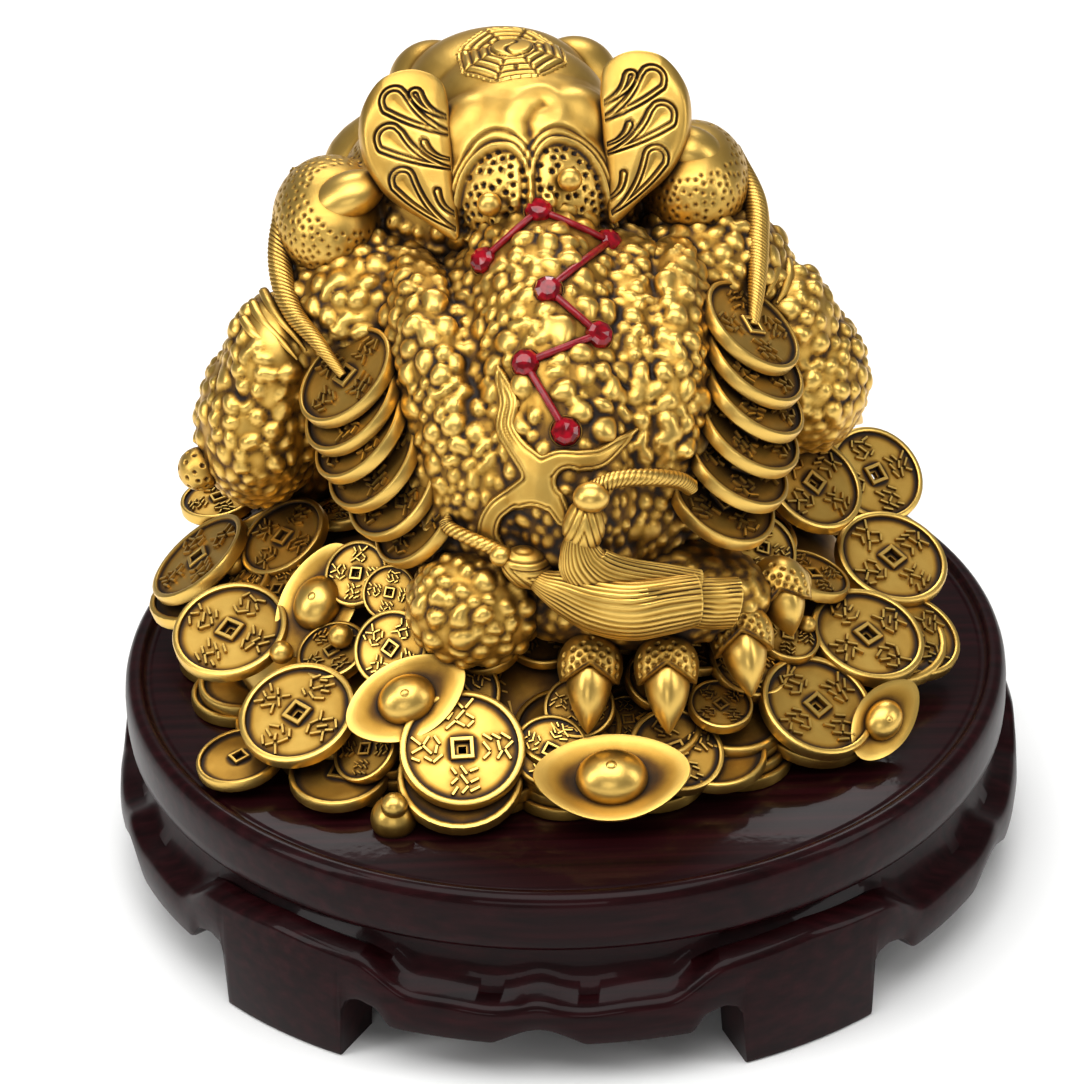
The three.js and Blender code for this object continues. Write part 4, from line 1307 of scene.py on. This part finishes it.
def filler_places(count, seed):
    """Coins strewn over the mound wherever no laid coin is, each leaning with its slope."""
    chance = np.random.default_rng(seed)
    taken = [(Vector(coin[:3]), coin[5] * 1.1) for coin in LAID_COINS]
    taken += [(Vector(item["at"]), item["length"] * 0.8) for item in INGOTS]
    places = []
    for _ in range(count * 12):
        angle = 2 * math.pi * chance.random()
        reach = 0.45 + 0.5 * math.sqrt(chance.random())
        radius = 10.5 + 8 * chance.random()
        here = heap_point(reach, angle)
        fall = heap_point(reach - 0.04, angle) - heap_point(reach + 0.04, angle)
        lean = min(48, math.degrees(math.atan2(fall.z, math.hypot(fall.x, fall.y)))) + 5 * chance.normal()
        toward = math.degrees(angle) + 14 * chance.normal()
        spin = 360 * chance.random()
        if len(places) == count or any((here - at).length < 0.68 * (radius + other) for at, other in taken):
            continue
        taken.append((here, radius))
        places.append(coin_place(here.x, here.y, here.z + 0.5, toward, lean, radius, spin))
    return places


def stack_places(stacks, seed):
    """Uneven stacks of coins side by side round the foot of the heap."""
    chance = np.random.default_rng(seed)
    places = []
    for index in range(stacks):
        angle = 2 * math.pi * (index + 0.35 * chance.random()) / stacks
        radius = 14 + 5 * chance.random()
        coins = chance.integers(2, 6)
        for level in range(coins):
            inset = radius + 1.3 * level + 1.6 * chance.random()
            x = HEAP_CENTRE[0] + (HEAP_HALF[0] - inset) * math.cos(angle) + 0.8 * chance.normal()
            y = HEAP_CENTRE[1] + (HEAP_HALF[1] - inset) * math.sin(angle) + 0.8 * chance.normal()
            lean = 1.5 + 3 * level + 2 * chance.random()
            height = 5 + 4.1 * level
            spin = 360 * chance.random()
            places.append(coin_place(x, y, height, math.degrees(angle), lean, radius, spin))
    return places


def far_places():
    """Large coins on the far side of the heap, near its foot and higher up by turns."""
    places = []
    for index in range(FAR_COINS["count"]):
        toward = FAR_COINS["first"] + index * FAR_COINS["step"]
        here = heap_point(FAR_COINS["reach"][index % 2], math.radians(toward))
        height = FAR_COINS["height"][index % 2]
        places.append(coin_place(here.x, here.y, height, toward, FAR_COINS["lean"], COIN_RADIUS, 40 * index))
    return places


def marked_coins(name, places, seed, rim_share=1.0):
    """Coins with strokes on them as one piece of the casting."""
    form = bmesh.new()
    masters = [coin_master(seed + number, True, rim_share) for number in range(MARKED_KINDS)]
    for number, master in enumerate(masters):
        copied(form, master, places[number::MARKED_KINDS])
    brass_piece(name, mesh_of(form), rounds=2, depth=0.5, sharp=32, bare=0.66)


def make_coins():
    marked_coins("laid_coins", [coin_place(*coin) for coin in LAID_COINS] + far_places(), 40)
    chance = np.random.default_rng(17)
    for name, string in zip(("left", "right"), STRINGS):
        marked_coins(name + "_string_of_coins", string_places(string, chance), 50, 0.8)


def make_heap():
    # Painted shade: the mound is left nearly as dark as dirt, for the shade in the gaps between coins
    brass_piece("heap_mound", heap_mesh(), rounds=3, depth=2.0, bare=0.07)
    form = bmesh.new()
    master = coin_master(0, marked=False)
    copied(form, master, [coin_place(*coin) for coin in UNDER_COINS] + stack_places(24, 23))
    brass_piece("coin_stacks", mesh_of(form), rounds=2, depth=0.5, sharp=32, bare=0.5)
    marked_coins("strewn_coins", filler_places(84, 29), 60)


# Ingots and beads

INGOTS = [
    {"at": (-13, 99, 13.5), "length": 24, "along": (-1, 0, 0.02), "up": (0, 0.45, 0.9)},
    {"at": (50, 76, 30.5), "length": 20, "along": (-0.85, -0.3, 0.3), "up": (0.05, 0.65, 0.76)},
    {"at": (78, 30, 38.5), "length": 20, "along": (-0.45, -0.62, 0.64), "up": (0.25, 0.6, 0.76)},
    {"at": (-99, 68, 12.5), "length": 15, "along": (-0.62, -0.6, 0.5), "up": (-0.35, 0.75, 0.56)},
]
BEADS = [
    (-73, 44, 49.5, 5.4), (-52, 50, 53, 5.4), (54.5, 103, 9.5, 4.2), (90, 46, 31, 3.8), (71, 47, 37, 4),
    (107, -2, 35, 3.6), (-77, 42, 32.5, 3), (55, 100.5, 3.2, 7.2),
]


def ingot(form, at, length, along, up):
    """A boat-shaped ingot: pointed raised ends, a thin lip, a dish and a round dome in it."""
    profile = [
        (0, -0.36), (0.22, -0.33), (0.4, -0.18), (0.49, 0.0), (0.52, 0.08), (0.515, 0.1), (0.48, 0.1),
        (0.42, 0.085), (0.3, 0.05), (0.15, 0.03), (0, 0.03),
    ]
    hull = bmesh.new()
    spun(hull, profile, 64)
    for vertex in hull.verts:
        x, y, z = vertex.co
        share = min(1, abs(x) / 0.52)
        vertex.co = (x * 1.95, y * (1.24 - 0.2 * share**2), z + 0.15 * share**2.2)
    egg(hull, (0, 0, 0.06), (0.47, 0.39, 0.36), (0, 0, 0), 40)
    egg(hull, (0, 0, 0.4), (0.08, 0.07, 0.04), (0, 0, 0), 16)
    x = Vector(along).normalized()
    z = Vector(up)
    z = (z - x * z.dot(x)).normalized()
    place = basis(x, z.cross(x), z, at) @ Matrix.Scale(length, 4)
    copied(form, mesh_of(hull), [place])


def make_ingots():
    form = bmesh.new()
    for item in INGOTS:
        ingot(form, **item)
    for x, y, z, radius in BEADS:
        ball(form, 12, Matrix.Translation((x, y, z)) @ Matrix.Scale(radius, 4))
    brass_piece("ingots_and_beads", mesh_of(form), rounds=3, depth=0.6, sharp=50, bare=0.62)


# Cords and tassels

LEFT_ROPE = [
    (80, -52, 151.5), (86, -36, 141.5), (87, -24, 131.5), (83, -10, 123.5), (75, 4, 119.5), (67, 14, 112.5),
]
RIGHT_ROPE = [(-58, -50, 155.5), (-65, -34, 145.5), (-65, -18, 137.5), (-64, -4, 130.5), (-62, 8, 122.5)]
FRINGE = [
    (-4.6, 79.5, 90, 4.2, 4.2), (-5, 80.5, 85.5, 6.2, 4.8), (-6.5, 81, 81, 8.2, 5), (-11, 81, 76.5, 9, 5),
    (-19, 80.5, 73.5, 8.5, 5), (-30, 79, 70.5, 8.2, 4.8), (-40, 77, 67, 8.2, 4.6),
]
RUMP_ROPE = [(-40, 55, 92), (-36, 60, 97.5), (-27, 70, 104.5), (-17, 74, 106.5), (-9, 75, 103.5)]
HEEL_ROPE = [(36, 57, 84), (34, 60, 82.5), (26, 68, 82.5), (18, 71.5, 80.5)]
SKIRT = [
    (12, 73, 74.5, 2.0, 2.4), (6, 76.8, 72.2, 3.9, 4.8), (0, 80, 70.5, 5.2, 7.6), (-9, 83.5, 68, 6.2, 9.8),
    (-20, 85, 66.5, 6.8, 10.6), (-31, 83, 66.5, 6.6, 10.2), (-40, 79.5, 66, 6.2, 9.4),
]


def rope(form, points, radius, thin_end, strands, gap):
    """Strands laid up into one rope: turning lobes, with a gap along the rope from each to the next."""
    rough = smooth_line(points, 60)
    length = np.linalg.norm(np.diff(rough, axis=0), axis=1).sum()
    steps = int(length / (0.2 * gap * COARSER))
    turns = 2 * math.pi * length / gap

    def section(share, angle):
        lobe = 0.5 + 0.5 * math.cos(strands * angle + turns * share)
        width = (radius - 0.3 * gap * (1 - lobe**0.6)) * (1 - (1 - thin_end) * max(0, share - 0.5) * 2)
        return width * math.cos(angle), width * math.sin(angle)

    swept(form, smooth_line(points, steps), section, max(24, 5 * strands))


def brushed(form, stations, strands, wave, steps, up=(0, 0, 1)):
    """A tassel's skirt: a flattened bar with strands brushed into it, closed at its cut end."""
    line = smooth_line(stations, steps)

    def section(share, angle):
        at = min(int(share * (steps - 1) + 0.5), steps - 1)
        depth, height = line[at][3:5]
        drift = noise.noise((3 * share, 1.3 * math.cos(angle), 1.3 * math.sin(angle)))
        phase = strands * angle + wave * (math.sin(3.1 * share + 2 * math.sin(angle * 2)) + 3 * drift)
        phase += 0.9 * math.sin(5 * angle + 2 * share)
        comb = 1 - (0.05 + 0.05 * drift) * (0.5 - 0.5 * math.cos(phase)) ** 1.5
        return depth * math.cos(angle) * comb, height * math.sin(angle) * comb

    swept(form, line[:, :3], section, int(strands * 4.0), up)


def knot(form, place, lines, slant):
    """A wound knot: a ball with grooves that follow its winding."""
    mesh = ball_mesh(26)
    for vertex in mesh.vertices:
        lay = math.cos(lines * (vertex.co.z + slant * abs(vertex.co.x)))
        vertex.co *= 1 - 0.05 * max(0, lay) ** 2
    copied(form, mesh, [place])


def make_tassels():
    form = bmesh.new()
    strand = bpy.context.scene.money_toad_sizes.strand
    around = 2 * math.pi * math.sqrt((SKIRT[4][3] ** 2 + SKIRT[4][4] ** 2) / 2)
    brushed(form, SKIRT, round(around / strand), 1.2, 90)
    brushed(form, [(-36, 79, 65, 5, 7.6), (-44, 76, 62.5, 5.4, 8.6), (-52, 72, 60, 5.2, 8.8)], 30, 0.4, 40)
    brushed(form, FRINGE, 34, 0.8, 60, up=(0, 1, 0))
    knot(form, placed((11, 72.5, 75.5), (6.6, 6.6, 8.4), (0, 65, 0)), 9, 2.0)
    knot(form, placed((-6.5, 78.5, 93), (6.6, 5.6, 8.6), (14, -6, 0)), 8, 2.2)
    ball(form, 12, placed((-9, 77.5, 102.5), (5.6, 5, 4.8)))
    ball(form, 10, placed((19, 72.5, 80), (3.6, 3.4, 3.4)))
    brass_piece("tassels", mesh_of(form), rounds=3, depth=0.22, sharp=60)
    ropes = bmesh.new()
    rope(ropes, LEFT_ROPE, 4.0, 0.35, 11, 1.6)
    rope(ropes, RIGHT_ROPE, 3.9, 0.5, 7, 1.3)
    rope(ropes, RUMP_ROPE, 2.8, 1, 5, 1.7)
    rope(ropes, HEEL_ROPE, 2.3, 1, 4, 1.6)
    brass_piece("ropes", mesh_of(ropes), rounds=3, depth=0.25)


# Rear foot

HEEL_EGG = [(28, 62, 55.5), (21, 17, 19), (0, 0, 0)]
THIGH_EGG = [(-18, 50, 53.5), (48, 25, 17), (0, 0, -8)]
TOES = [
    {"joint": (-8, 70, 47.5), "tip": (-6, 87, 24.5)},
    {"joint": (-31, 72, 47.5), "tip": (-31, 90, 25.5)},
    {"joint": (-54, 62, 50.5), "tip": (-57, 80, 31.5)},
    {"joint": (-66, 48, 56.5), "tip": (-71, 58, 39.5)},
]


HOOD_SHARE = 0.3  # how far along a claw its hood sits
HOOD_HALF = np.array([10.2, 9.6, 11])
HOOD_SLOPE = 0.62  # how steeply a hood's lower edge rises to its point


def toe_axes(toe):
    """The ends of a rear claw, and the directions along and across it."""
    joint, tip = Vector(toe["joint"]), Vector(toe["tip"])
    down = (tip - joint).normalized()
    across = down.cross(Vector((0, 1, 0.6))).normalized()
    return joint, tip, down, across


def collar_mesh(toe):
    """A domed hood over the claw: punched holes, and a lower edge like an upside-down V."""
    joint, tip, down, across = toe_axes(toe)
    place = basis(across, across.cross(down), down, joint.lerp(tip, HOOD_SHARE))
    mesh = ball_mesh(int(40 / COARSER))
    unit = coordinates(mesh)
    edge = HOOD_SLOPE * np.abs(unit[:, 0])
    hood = 1 - step_up(unit[:, 2], edge, 0.09)
    size = 0.78 + 0.22 * hood + 0.035 * groove(unit[:, 2] - edge + 0.09, 0.06, 1.0)
    points = unit * size[:, None] * HOOD_HALF
    holes = []
    for row, below in enumerate((0.24, 0.5, 0.76)):
        for share in np.linspace(-0.85, 0.85, 9 - row):
            along = HOOD_SLOPE * abs(share) - below
            out = math.sqrt(max(0.01, 1 - share**2 * 0.9 - along**2))
            holes.append(np.array(Vector((share * 0.95, out, along)).normalized()) * HOOD_HALF)
    drop = pits(points, holes, 0.85, 1.2)
    move_to(mesh, points - unit * drop[:, None])
    mesh.transform(place)
    return mesh


def make_rear_foot():
    form = bmesh.new()
    egg(form, *HEEL_EGG)
    heel = fused(form, 0.7, 4)
    points = coordinates(heel)
    warted(heel, points[:, 2] > 36, 1.9, 3.5, 0.6, seed=71, overlap=1.04)
    brass_piece("rear_heel", heel, rounds=10, depth=0.55)
    form = bmesh.new()
    egg(form, *THIGH_EGG)
    thigh = fused(form, 1.1, 4)
    warted(thigh, coordinates(thigh)[:, 2] > 46, 1.8, 3.0, 0.4, seed=73, overlap=1.0)
    # The thigh is given a low, dark tone all over
    brass_piece("rear_thigh", thigh, rounds=8, depth=0.5, bare=0.2)
    hoods = bmesh.new()
    claws = bmesh.new()
    for toe in TOES:
        copied(hoods, collar_mesh(toe))
        joint, tip, _, _ = toe_axes(toe)
        claw(claws, joint.lerp(tip, HOOD_SHARE + 0.05), tip + (tip - joint).normalized(), 8.8)
    brass_piece("rear_toe_hoods", mesh_of(hoods), rounds=5, depth=0.45, bare=0.85)
    brass_piece("rear_claws", mesh_of(claws), rounds=4, depth=0.4, bare=0.5)


# Gems and the enamel line between them

GEM_SETTING = 1.6  # how deep a stone is let in
GEM_TILT = 0.8  # how far a stone turns to the viewer behind
GEM_CLEARANCE = 0.8  # how far a gem's seat stays clear of the skin of the head
LINE_WIDTH = 2.3
LINE_HEIGHT = 1.1
LINE_LIFT = 0.7
LINE_STEP = 0.5


def head_in_casting():
    """A copy of the head's skin in the casting's own coordinates."""
    head = bpy.data.objects["head"].data.copy()
    head.transform(FROM_CASTING.inverted())
    return head


def make_gems():
    """Seven round stones with a table and two rows of facets, in rims painted dark as their shadow."""
    tree = tree_of_faces(head_in_casting())
    for index, (x, y) in enumerate(GEM_PLACES):
        point, normal = on_ridge(x, y)
        skin = tree.ray_cast(point + TO_VIEWER * FAR_OUT, -TO_VIEWER)[0]
        if skin:
            point += TO_VIEWER * max(0, (skin - point).dot(TO_VIEWER) + GEM_CLEARANCE)
        normal = (normal + TO_VIEWER * GEM_TILT).normalized()
        turn = Vector((0, 0, 1)).rotation_difference(normal).to_matrix().to_4x4()
        place = Matrix.Translation(point - normal * GEM_SETTING) @ turn
        form = bmesh.new()
        profile = [(0, 0), (4.3, 0), (4.5, 2.4), (3.9, 3.9), (2.5, 4.8), (0, 5.0)]
        spun(form, profile, 9, place)
        name = "gem_" + str(index + 1)
        glass = material_once("red_pressed_glass", red_glass)
        stone = finish(name + "_stone", mesh_of(form), glass, [name])
        stone.data.polygons.foreach_set("use_smooth", np.zeros(len(stone.data.polygons), bool))
        # Painted shadow: each stone's rim is left dark all over, as the shadow round the stone
        rim = bmesh.new()
        spun(rim, [(4.4, 0.4), (5.4, 0.2), (5.1, 1.3), (4.8, 1.9), (4.5, 1.8), (4.4, 0.4)], 40, place)
        brass_piece(name + "_rim", mesh_of(rim), rounds=2, depth=1.2, bare=0.2)


def make_enamel():
    """A painted line standing a little proud, from gem to gem."""
    form = bmesh.new()
    for line, start in zip(enamel_lines(smooth_back(), head_in_casting()), GEM_PLACES):

        def section(_, angle):
            return 0.5 * LINE_WIDTH * math.cos(angle), LINE_HEIGHT * math.sin(angle)

        swept(form, line, section, 12, up=on_ridge(*start)[1])
    finish("enamel_line", mesh_of(form), red_enamel("red_enamel"), ["toad"])


def enamel_lines(*meshes):
    """Lines on the outermost of some skins, straight from each gem to the next as seen from behind."""
    trees = [tree_of_faces(mesh) for mesh in meshes]
    seats = [on_ridge(x, y)[0] for x, y in GEM_PLACES]
    lines = []
    for start, end in zip(seats, seats[1:]):
        steps = int((end - start).length / LINE_STEP)
        line = []
        for step in range(steps + 1):
            above = start.lerp(end, step / steps) + TO_VIEWER * FAR_OUT
            hits = [tree.ray_cast(above, -TO_VIEWER) for tree in trees]
            spot, normal, _, _ = min((hit for hit in hits if hit[0]), key=lambda hit: hit[3])
            line.append(np.array(spot + normal * LINE_LIFT))
        line = np.array(line)
        for _ in range(6):
            line[1:-1] = (line[:-2] + 2 * line[1:-1] + line[2:]) / 4
        lines.append(line)
    return lines


# The stand

FOOT_RING_HEIGHT = 48
DISC_THICKNESS = 20
STAND_GAP = 0.3
FOOT_RING_OUTER = 149
FOOT_RING_DEPTH = 19.5
WAIST_OUTER = 137
WAIST_DEPTH = 15
COVE_OUTER = 141
FOOT_BEARINGS = (-38.8, 29.5, 103, 175, 249)
FOOT_HALF_ANGLE = 9.2
LOBE_HALF_ANGLE = 17
LOBE_EDGE_ANGLE = 8
LOBE_DROP = 6
APRON_DROP = 18
APRON_PEAK = 1.6
APRON_PEAK_ANGLE = 2.4
APRON_LOW = 16
APRON_NOTCH = 8
# The lower edge from a foot to midway between feet: share of the way and rise over the apron's low line
BAY = [
    (0, 0), (0.01, 0.75), (0.05, 1), (0.1, 0.75), (0.13, 0), (0.39, 0), (0.43, 0.35), (0.47, 0.65),
    (0.5, 0.72),
]


def make_stand_top():
    """A turned disc: rounded edge, flat rim, a groove inside it and a polished floor."""
    low = FOOT_RING_HEIGHT + STAND_GAP
    high = low + DISC_THICKNESS
    profile = [
        (0, low), (142.5, low), (143.8, low + 0.5), (144.6, low + 2), (145, low + 6), (145, high - 7),
        (144.7, high - 4), (144.0, high - 1.8), (142.8, high - 0.5), (141.2, high), (139.9, high),
        (139.4, high - 0.3), (138.9, high - 1.6), (138.2, high - 2.6), (137.2, high - 2.8),
        (136.2, high - 2.4), (135.4, high - 2), (0, high - 2),
    ]
    form = bmesh.new()
    spun(form, profile, 240)
    wood_piece("stand_disc", form, "stand_top", 60)


def nearest_feet(angle):
    """How far an angle is from its nearest foot and from the next nearest."""
    gaps = sorted(min((angle - foot) % 360, (foot - angle) % 360) for foot in FOOT_BEARINGS)
    return gaps[0], gaps[1]


def apron_top(angle):
    """The carved upper edge: a leaf with soft shoulders over each foot, a small peak midway."""
    near, far = nearest_feet(angle)
    leaf = float(step_up(LOBE_HALF_ANGLE - near, LOBE_EDGE_ANGLE / 4, LOBE_EDGE_ANGLE))
    pointed = 0.75 + 0.25 * (1 - near / LOBE_HALF_ANGLE)
    off = (far - near) / 2
    peak = groove(off, APRON_PEAK_ANGLE, 1.0)
    peak -= groove(off - 2.5 * APRON_PEAK_ANGLE, APRON_PEAK_ANGLE * 1.4, 0.7)
    plain = FOOT_RING_HEIGHT - APRON_DROP + APRON_PEAK * float(peak)
    return plain + (FOOT_RING_HEIGHT - LOBE_DROP - plain) * leaf * pointed


def apron_low(angle):
    """The height of the lower edge: the table under a foot, then notch, lobe and arch between feet."""
    near, far = nearest_feet(angle)
    if near < FOOT_HALF_ANGLE:
        return 0.0
    share = (near - FOOT_HALF_ANGLE) / (near + far - 2 * FOOT_HALF_ANGLE)
    share = min(share, 0.5)
    places, rises = zip(*BAY)
    spread = np.linspace(share - 0.008, share + 0.008, 5)
    return APRON_LOW + APRON_NOTCH * float(np.interp(spread, places, rises).mean())


def make_stand_base():
    """The ring of five feet: one section spun round, its lower and upper edges carved to heights."""
    form = bmesh.new()
    inner = FOOT_RING_OUTER - FOOT_RING_DEPTH
    # Each point as its radius, how much it follows the carved top and how much the lower edge, and its height
    section = [
        (inner, 0, 1, 0), (FOOT_RING_OUTER - 1.6, 0, 1, 0), (FOOT_RING_OUTER - 0.4, 0, 1, 0.5),
        (FOOT_RING_OUTER, 0, 1, 1.8), (FOOT_RING_OUTER + 0.5, 0.5, 0.5, 0), (FOOT_RING_OUTER, 1, 0, -2.2),
        (FOOT_RING_OUTER - 0.9, 1, 0, -0.6), (FOOT_RING_OUTER - 2.4, 1, 0, 0.2), (COVE_OUTER + 1, 1, 0, 1.6),
        (COVE_OUTER - 1.5, 0.5, 0, 20), (WAIST_OUTER, 0.2, 0, 35),
        (WAIST_OUTER, 0, 0, FOOT_RING_HEIGHT - 0.6), (WAIST_OUTER - 1, 0, 0, FOOT_RING_HEIGHT),
        (WAIST_OUTER - WAIST_DEPTH, 0, 0, FOOT_RING_HEIGHT), (inner, 0.5, 0, 16),
    ]
    vertices = [form.verts.new((point[0], 0, index)) for index, point in enumerate(section)]
    edges = [form.edges.new((vertices[i - 1], vertices[i])) for i in range(len(vertices))]
    bmesh.ops.spin(
        form, geom=vertices + edges, axis=(0, 0, 1), cent=(0, 0, 0), angle=2 * math.pi, steps=720,
        use_merge=True,
    )
    for vertex in form.verts:
        angle = math.degrees(math.atan2(vertex.co.y, vertex.co.x)) - 90
        _, top, low, height = section[round(vertex.co.z)]
        vertex.co.z = top * apron_top(angle) + low * apron_low(angle) + height
    bmesh.ops.recalc_face_normals(form, faces=form.faces[:])
    wood_piece("stand_feet_ring", form, "stand_base", 40)


# The stage

CAMERA_TARGET = (6.32, 0, 107.99)
CAMERA_DISTANCE = 1449.5
CAMERA_ELEVATION = 30.67
CAMERA_ROLL = -1.82
CAMERA_LENS = 148.12
SOFTBOXES = [
    {"name": "overhead", "at": (0.1, 0.45, 1.4), "size": (1.5, 1.1), "power": 20},
    {"name": "left", "at": (1.1, 0.5, 0.8), "size": (0.4, 0.9), "power": 6},
    {"name": "right", "at": (-1.2, 0.4, 0.7), "size": (0.4, 0.9), "power": 4},
    {"name": "front", "at": (0.2, 1.5, 0.5), "size": (0.8, 0.25), "power": 2},
    {"name": "backdrop", "at": (0, -1.3, 1.7), "size": (1.6, 0.6), "power": 24, "aim": (0, -1.2, 0)},
]


def make_stage():
    """A pale floor, soft boxes round the figure and the camera above and behind the toad."""
    form = bmesh.new()
    bmesh.ops.create_grid(form, x_segments=1, y_segments=1, size=6)
    mesh = mesh_of(form)
    mesh.materials.append(matt_paper("matt_paper"))
    floor = bpy.data.objects.new("floor", mesh)
    bpy.context.collection.objects.link(floor)
    world = bpy.data.worlds.new("pale_room")
    world.use_nodes = True
    background = world.node_tree.nodes["Background"]
    background.inputs["Color"].default_value = linear("#FFFFFF")
    background.inputs["Strength"].default_value = 0.22
    bpy.context.scene.world = world
    for box in SOFTBOXES:
        light = bpy.data.lights.new(box["name"], "AREA")
        light.shape = "RECTANGLE"
        light.size, light.size_y = box["size"]
        light.energy = box["power"]
        lamp = bpy.data.objects.new(box["name"], light)
        lamp.location = box["at"]
        toward = Vector(box.get("aim", (0, 0, 0.12))) - lamp.location
        lamp.rotation_euler = toward.to_track_quat("-Z", "Y").to_euler()
        bpy.context.collection.objects.link(lamp)
    bpy.context.scene.view_settings.view_transform = "Standard"
    camera = bpy.data.cameras.new("camera")
    camera.lens = CAMERA_LENS
    camera.clip_end = 20
    viewer = bpy.data.objects.new("camera", camera)
    tilt = math.radians(CAMERA_ELEVATION)
    back = Vector((0, math.cos(tilt), math.sin(tilt)))
    place = Matrix.Translation((Vector(CAMERA_TARGET) + back * CAMERA_DISTANCE) * MM)
    turn = Euler((math.pi / 2 - tilt, 0, math.pi)).to_matrix().to_4x4()
    viewer.matrix_world = place @ turn @ Matrix.Rotation(math.radians(CAMERA_ROLL), 4, "Z")
    bpy.context.collection.objects.link(viewer)
    bpy.context.scene.camera = viewer


# One operator for each piece or group of like pieces


def operator(name, label, description, make):
    """An operator that makes one group of pieces."""

    def execute(self, context):
        make()
        return {"FINISHED"}

    words = {
        "bl_idname": "money_toad." + name, "bl_label": label, "__doc__": description, "execute": execute,
    }
    return type("MONEYTOAD_OT_" + name, (bpy.types.Operator,), words)


OPERATORS = [
    operator("back", "Back", "The warted back and flanks with the flame ornament on the rump", make_back),
    operator("arms", "Arms", "Both warted arms with their claws and curls", make_arms),
    operator("head", "Head", "The head with its dome, crown plate and ears", make_head),
    operator("coins", "Coins", "The laid coins and the two strings of coins", make_coins),
    operator("heap", "Heap", "The mound, the stacks at its foot and the strewn coins", make_heap),
    operator("ingots", "Ingots", "The boat-shaped ingots and the beads", make_ingots),
    operator("tassels", "Tassels", "The ropes and the brushed tassels", make_tassels),
    operator("rear_foot", "Rear foot", "The warted heel and the clawed toes", make_rear_foot),
    operator("gems", "Gems", "The seven red stones in their rims", make_gems),
    operator("enamel", "Enamel line", "The red line painted from gem to gem", make_enamel),
    operator("stand_top", "Stand top", "The lacquered disc", make_stand_top),
    operator("stand_base", "Stand base", "The ring of carved feet", make_stand_base),
    operator("stage", "Stage", "The floor, the lights and the camera", make_stage),
]


class MONEYTOAD_PT_pieces(bpy.types.Panel):
    """Lists the figure's pieces in the sidebar"""

    bl_label = "Money toad"
    bl_space_type = "VIEW_3D"
    bl_region_type = "UI"
    bl_category = "Money toad"

    def draw(self, context):
        for group in (context.scene.money_toad_sizes, context.scene.money_toad_colours):
            for name in group.__annotations__:
                self.layout.prop(group, name)
        for kind in OPERATORS:
            self.layout.operator(kind.bl_idname)


CLASSES = [MoneyToadSizes, MoneyToadColours, *OPERATORS, MONEYTOAD_PT_pieces]


def register():
    for kind in CLASSES:
        bpy.utils.register_class(kind)
    bpy.types.Scene.money_toad_sizes = bpy.props.PointerProperty(type=MoneyToadSizes)
    bpy.types.Scene.money_toad_colours = bpy.props.PointerProperty(type=MoneyToadColours)


def unregister():
    del bpy.types.Scene.money_toad_colours
    del bpy.types.Scene.money_toad_sizes
    for kind in reversed(CLASSES):
        bpy.utils.unregister_class(kind)


def main():
    register()
    for kind in OPERATORS:
        getattr(bpy.ops.money_toad, kind.bl_idname.split(".")[1])()


if __name__ == "__main__":
    main()
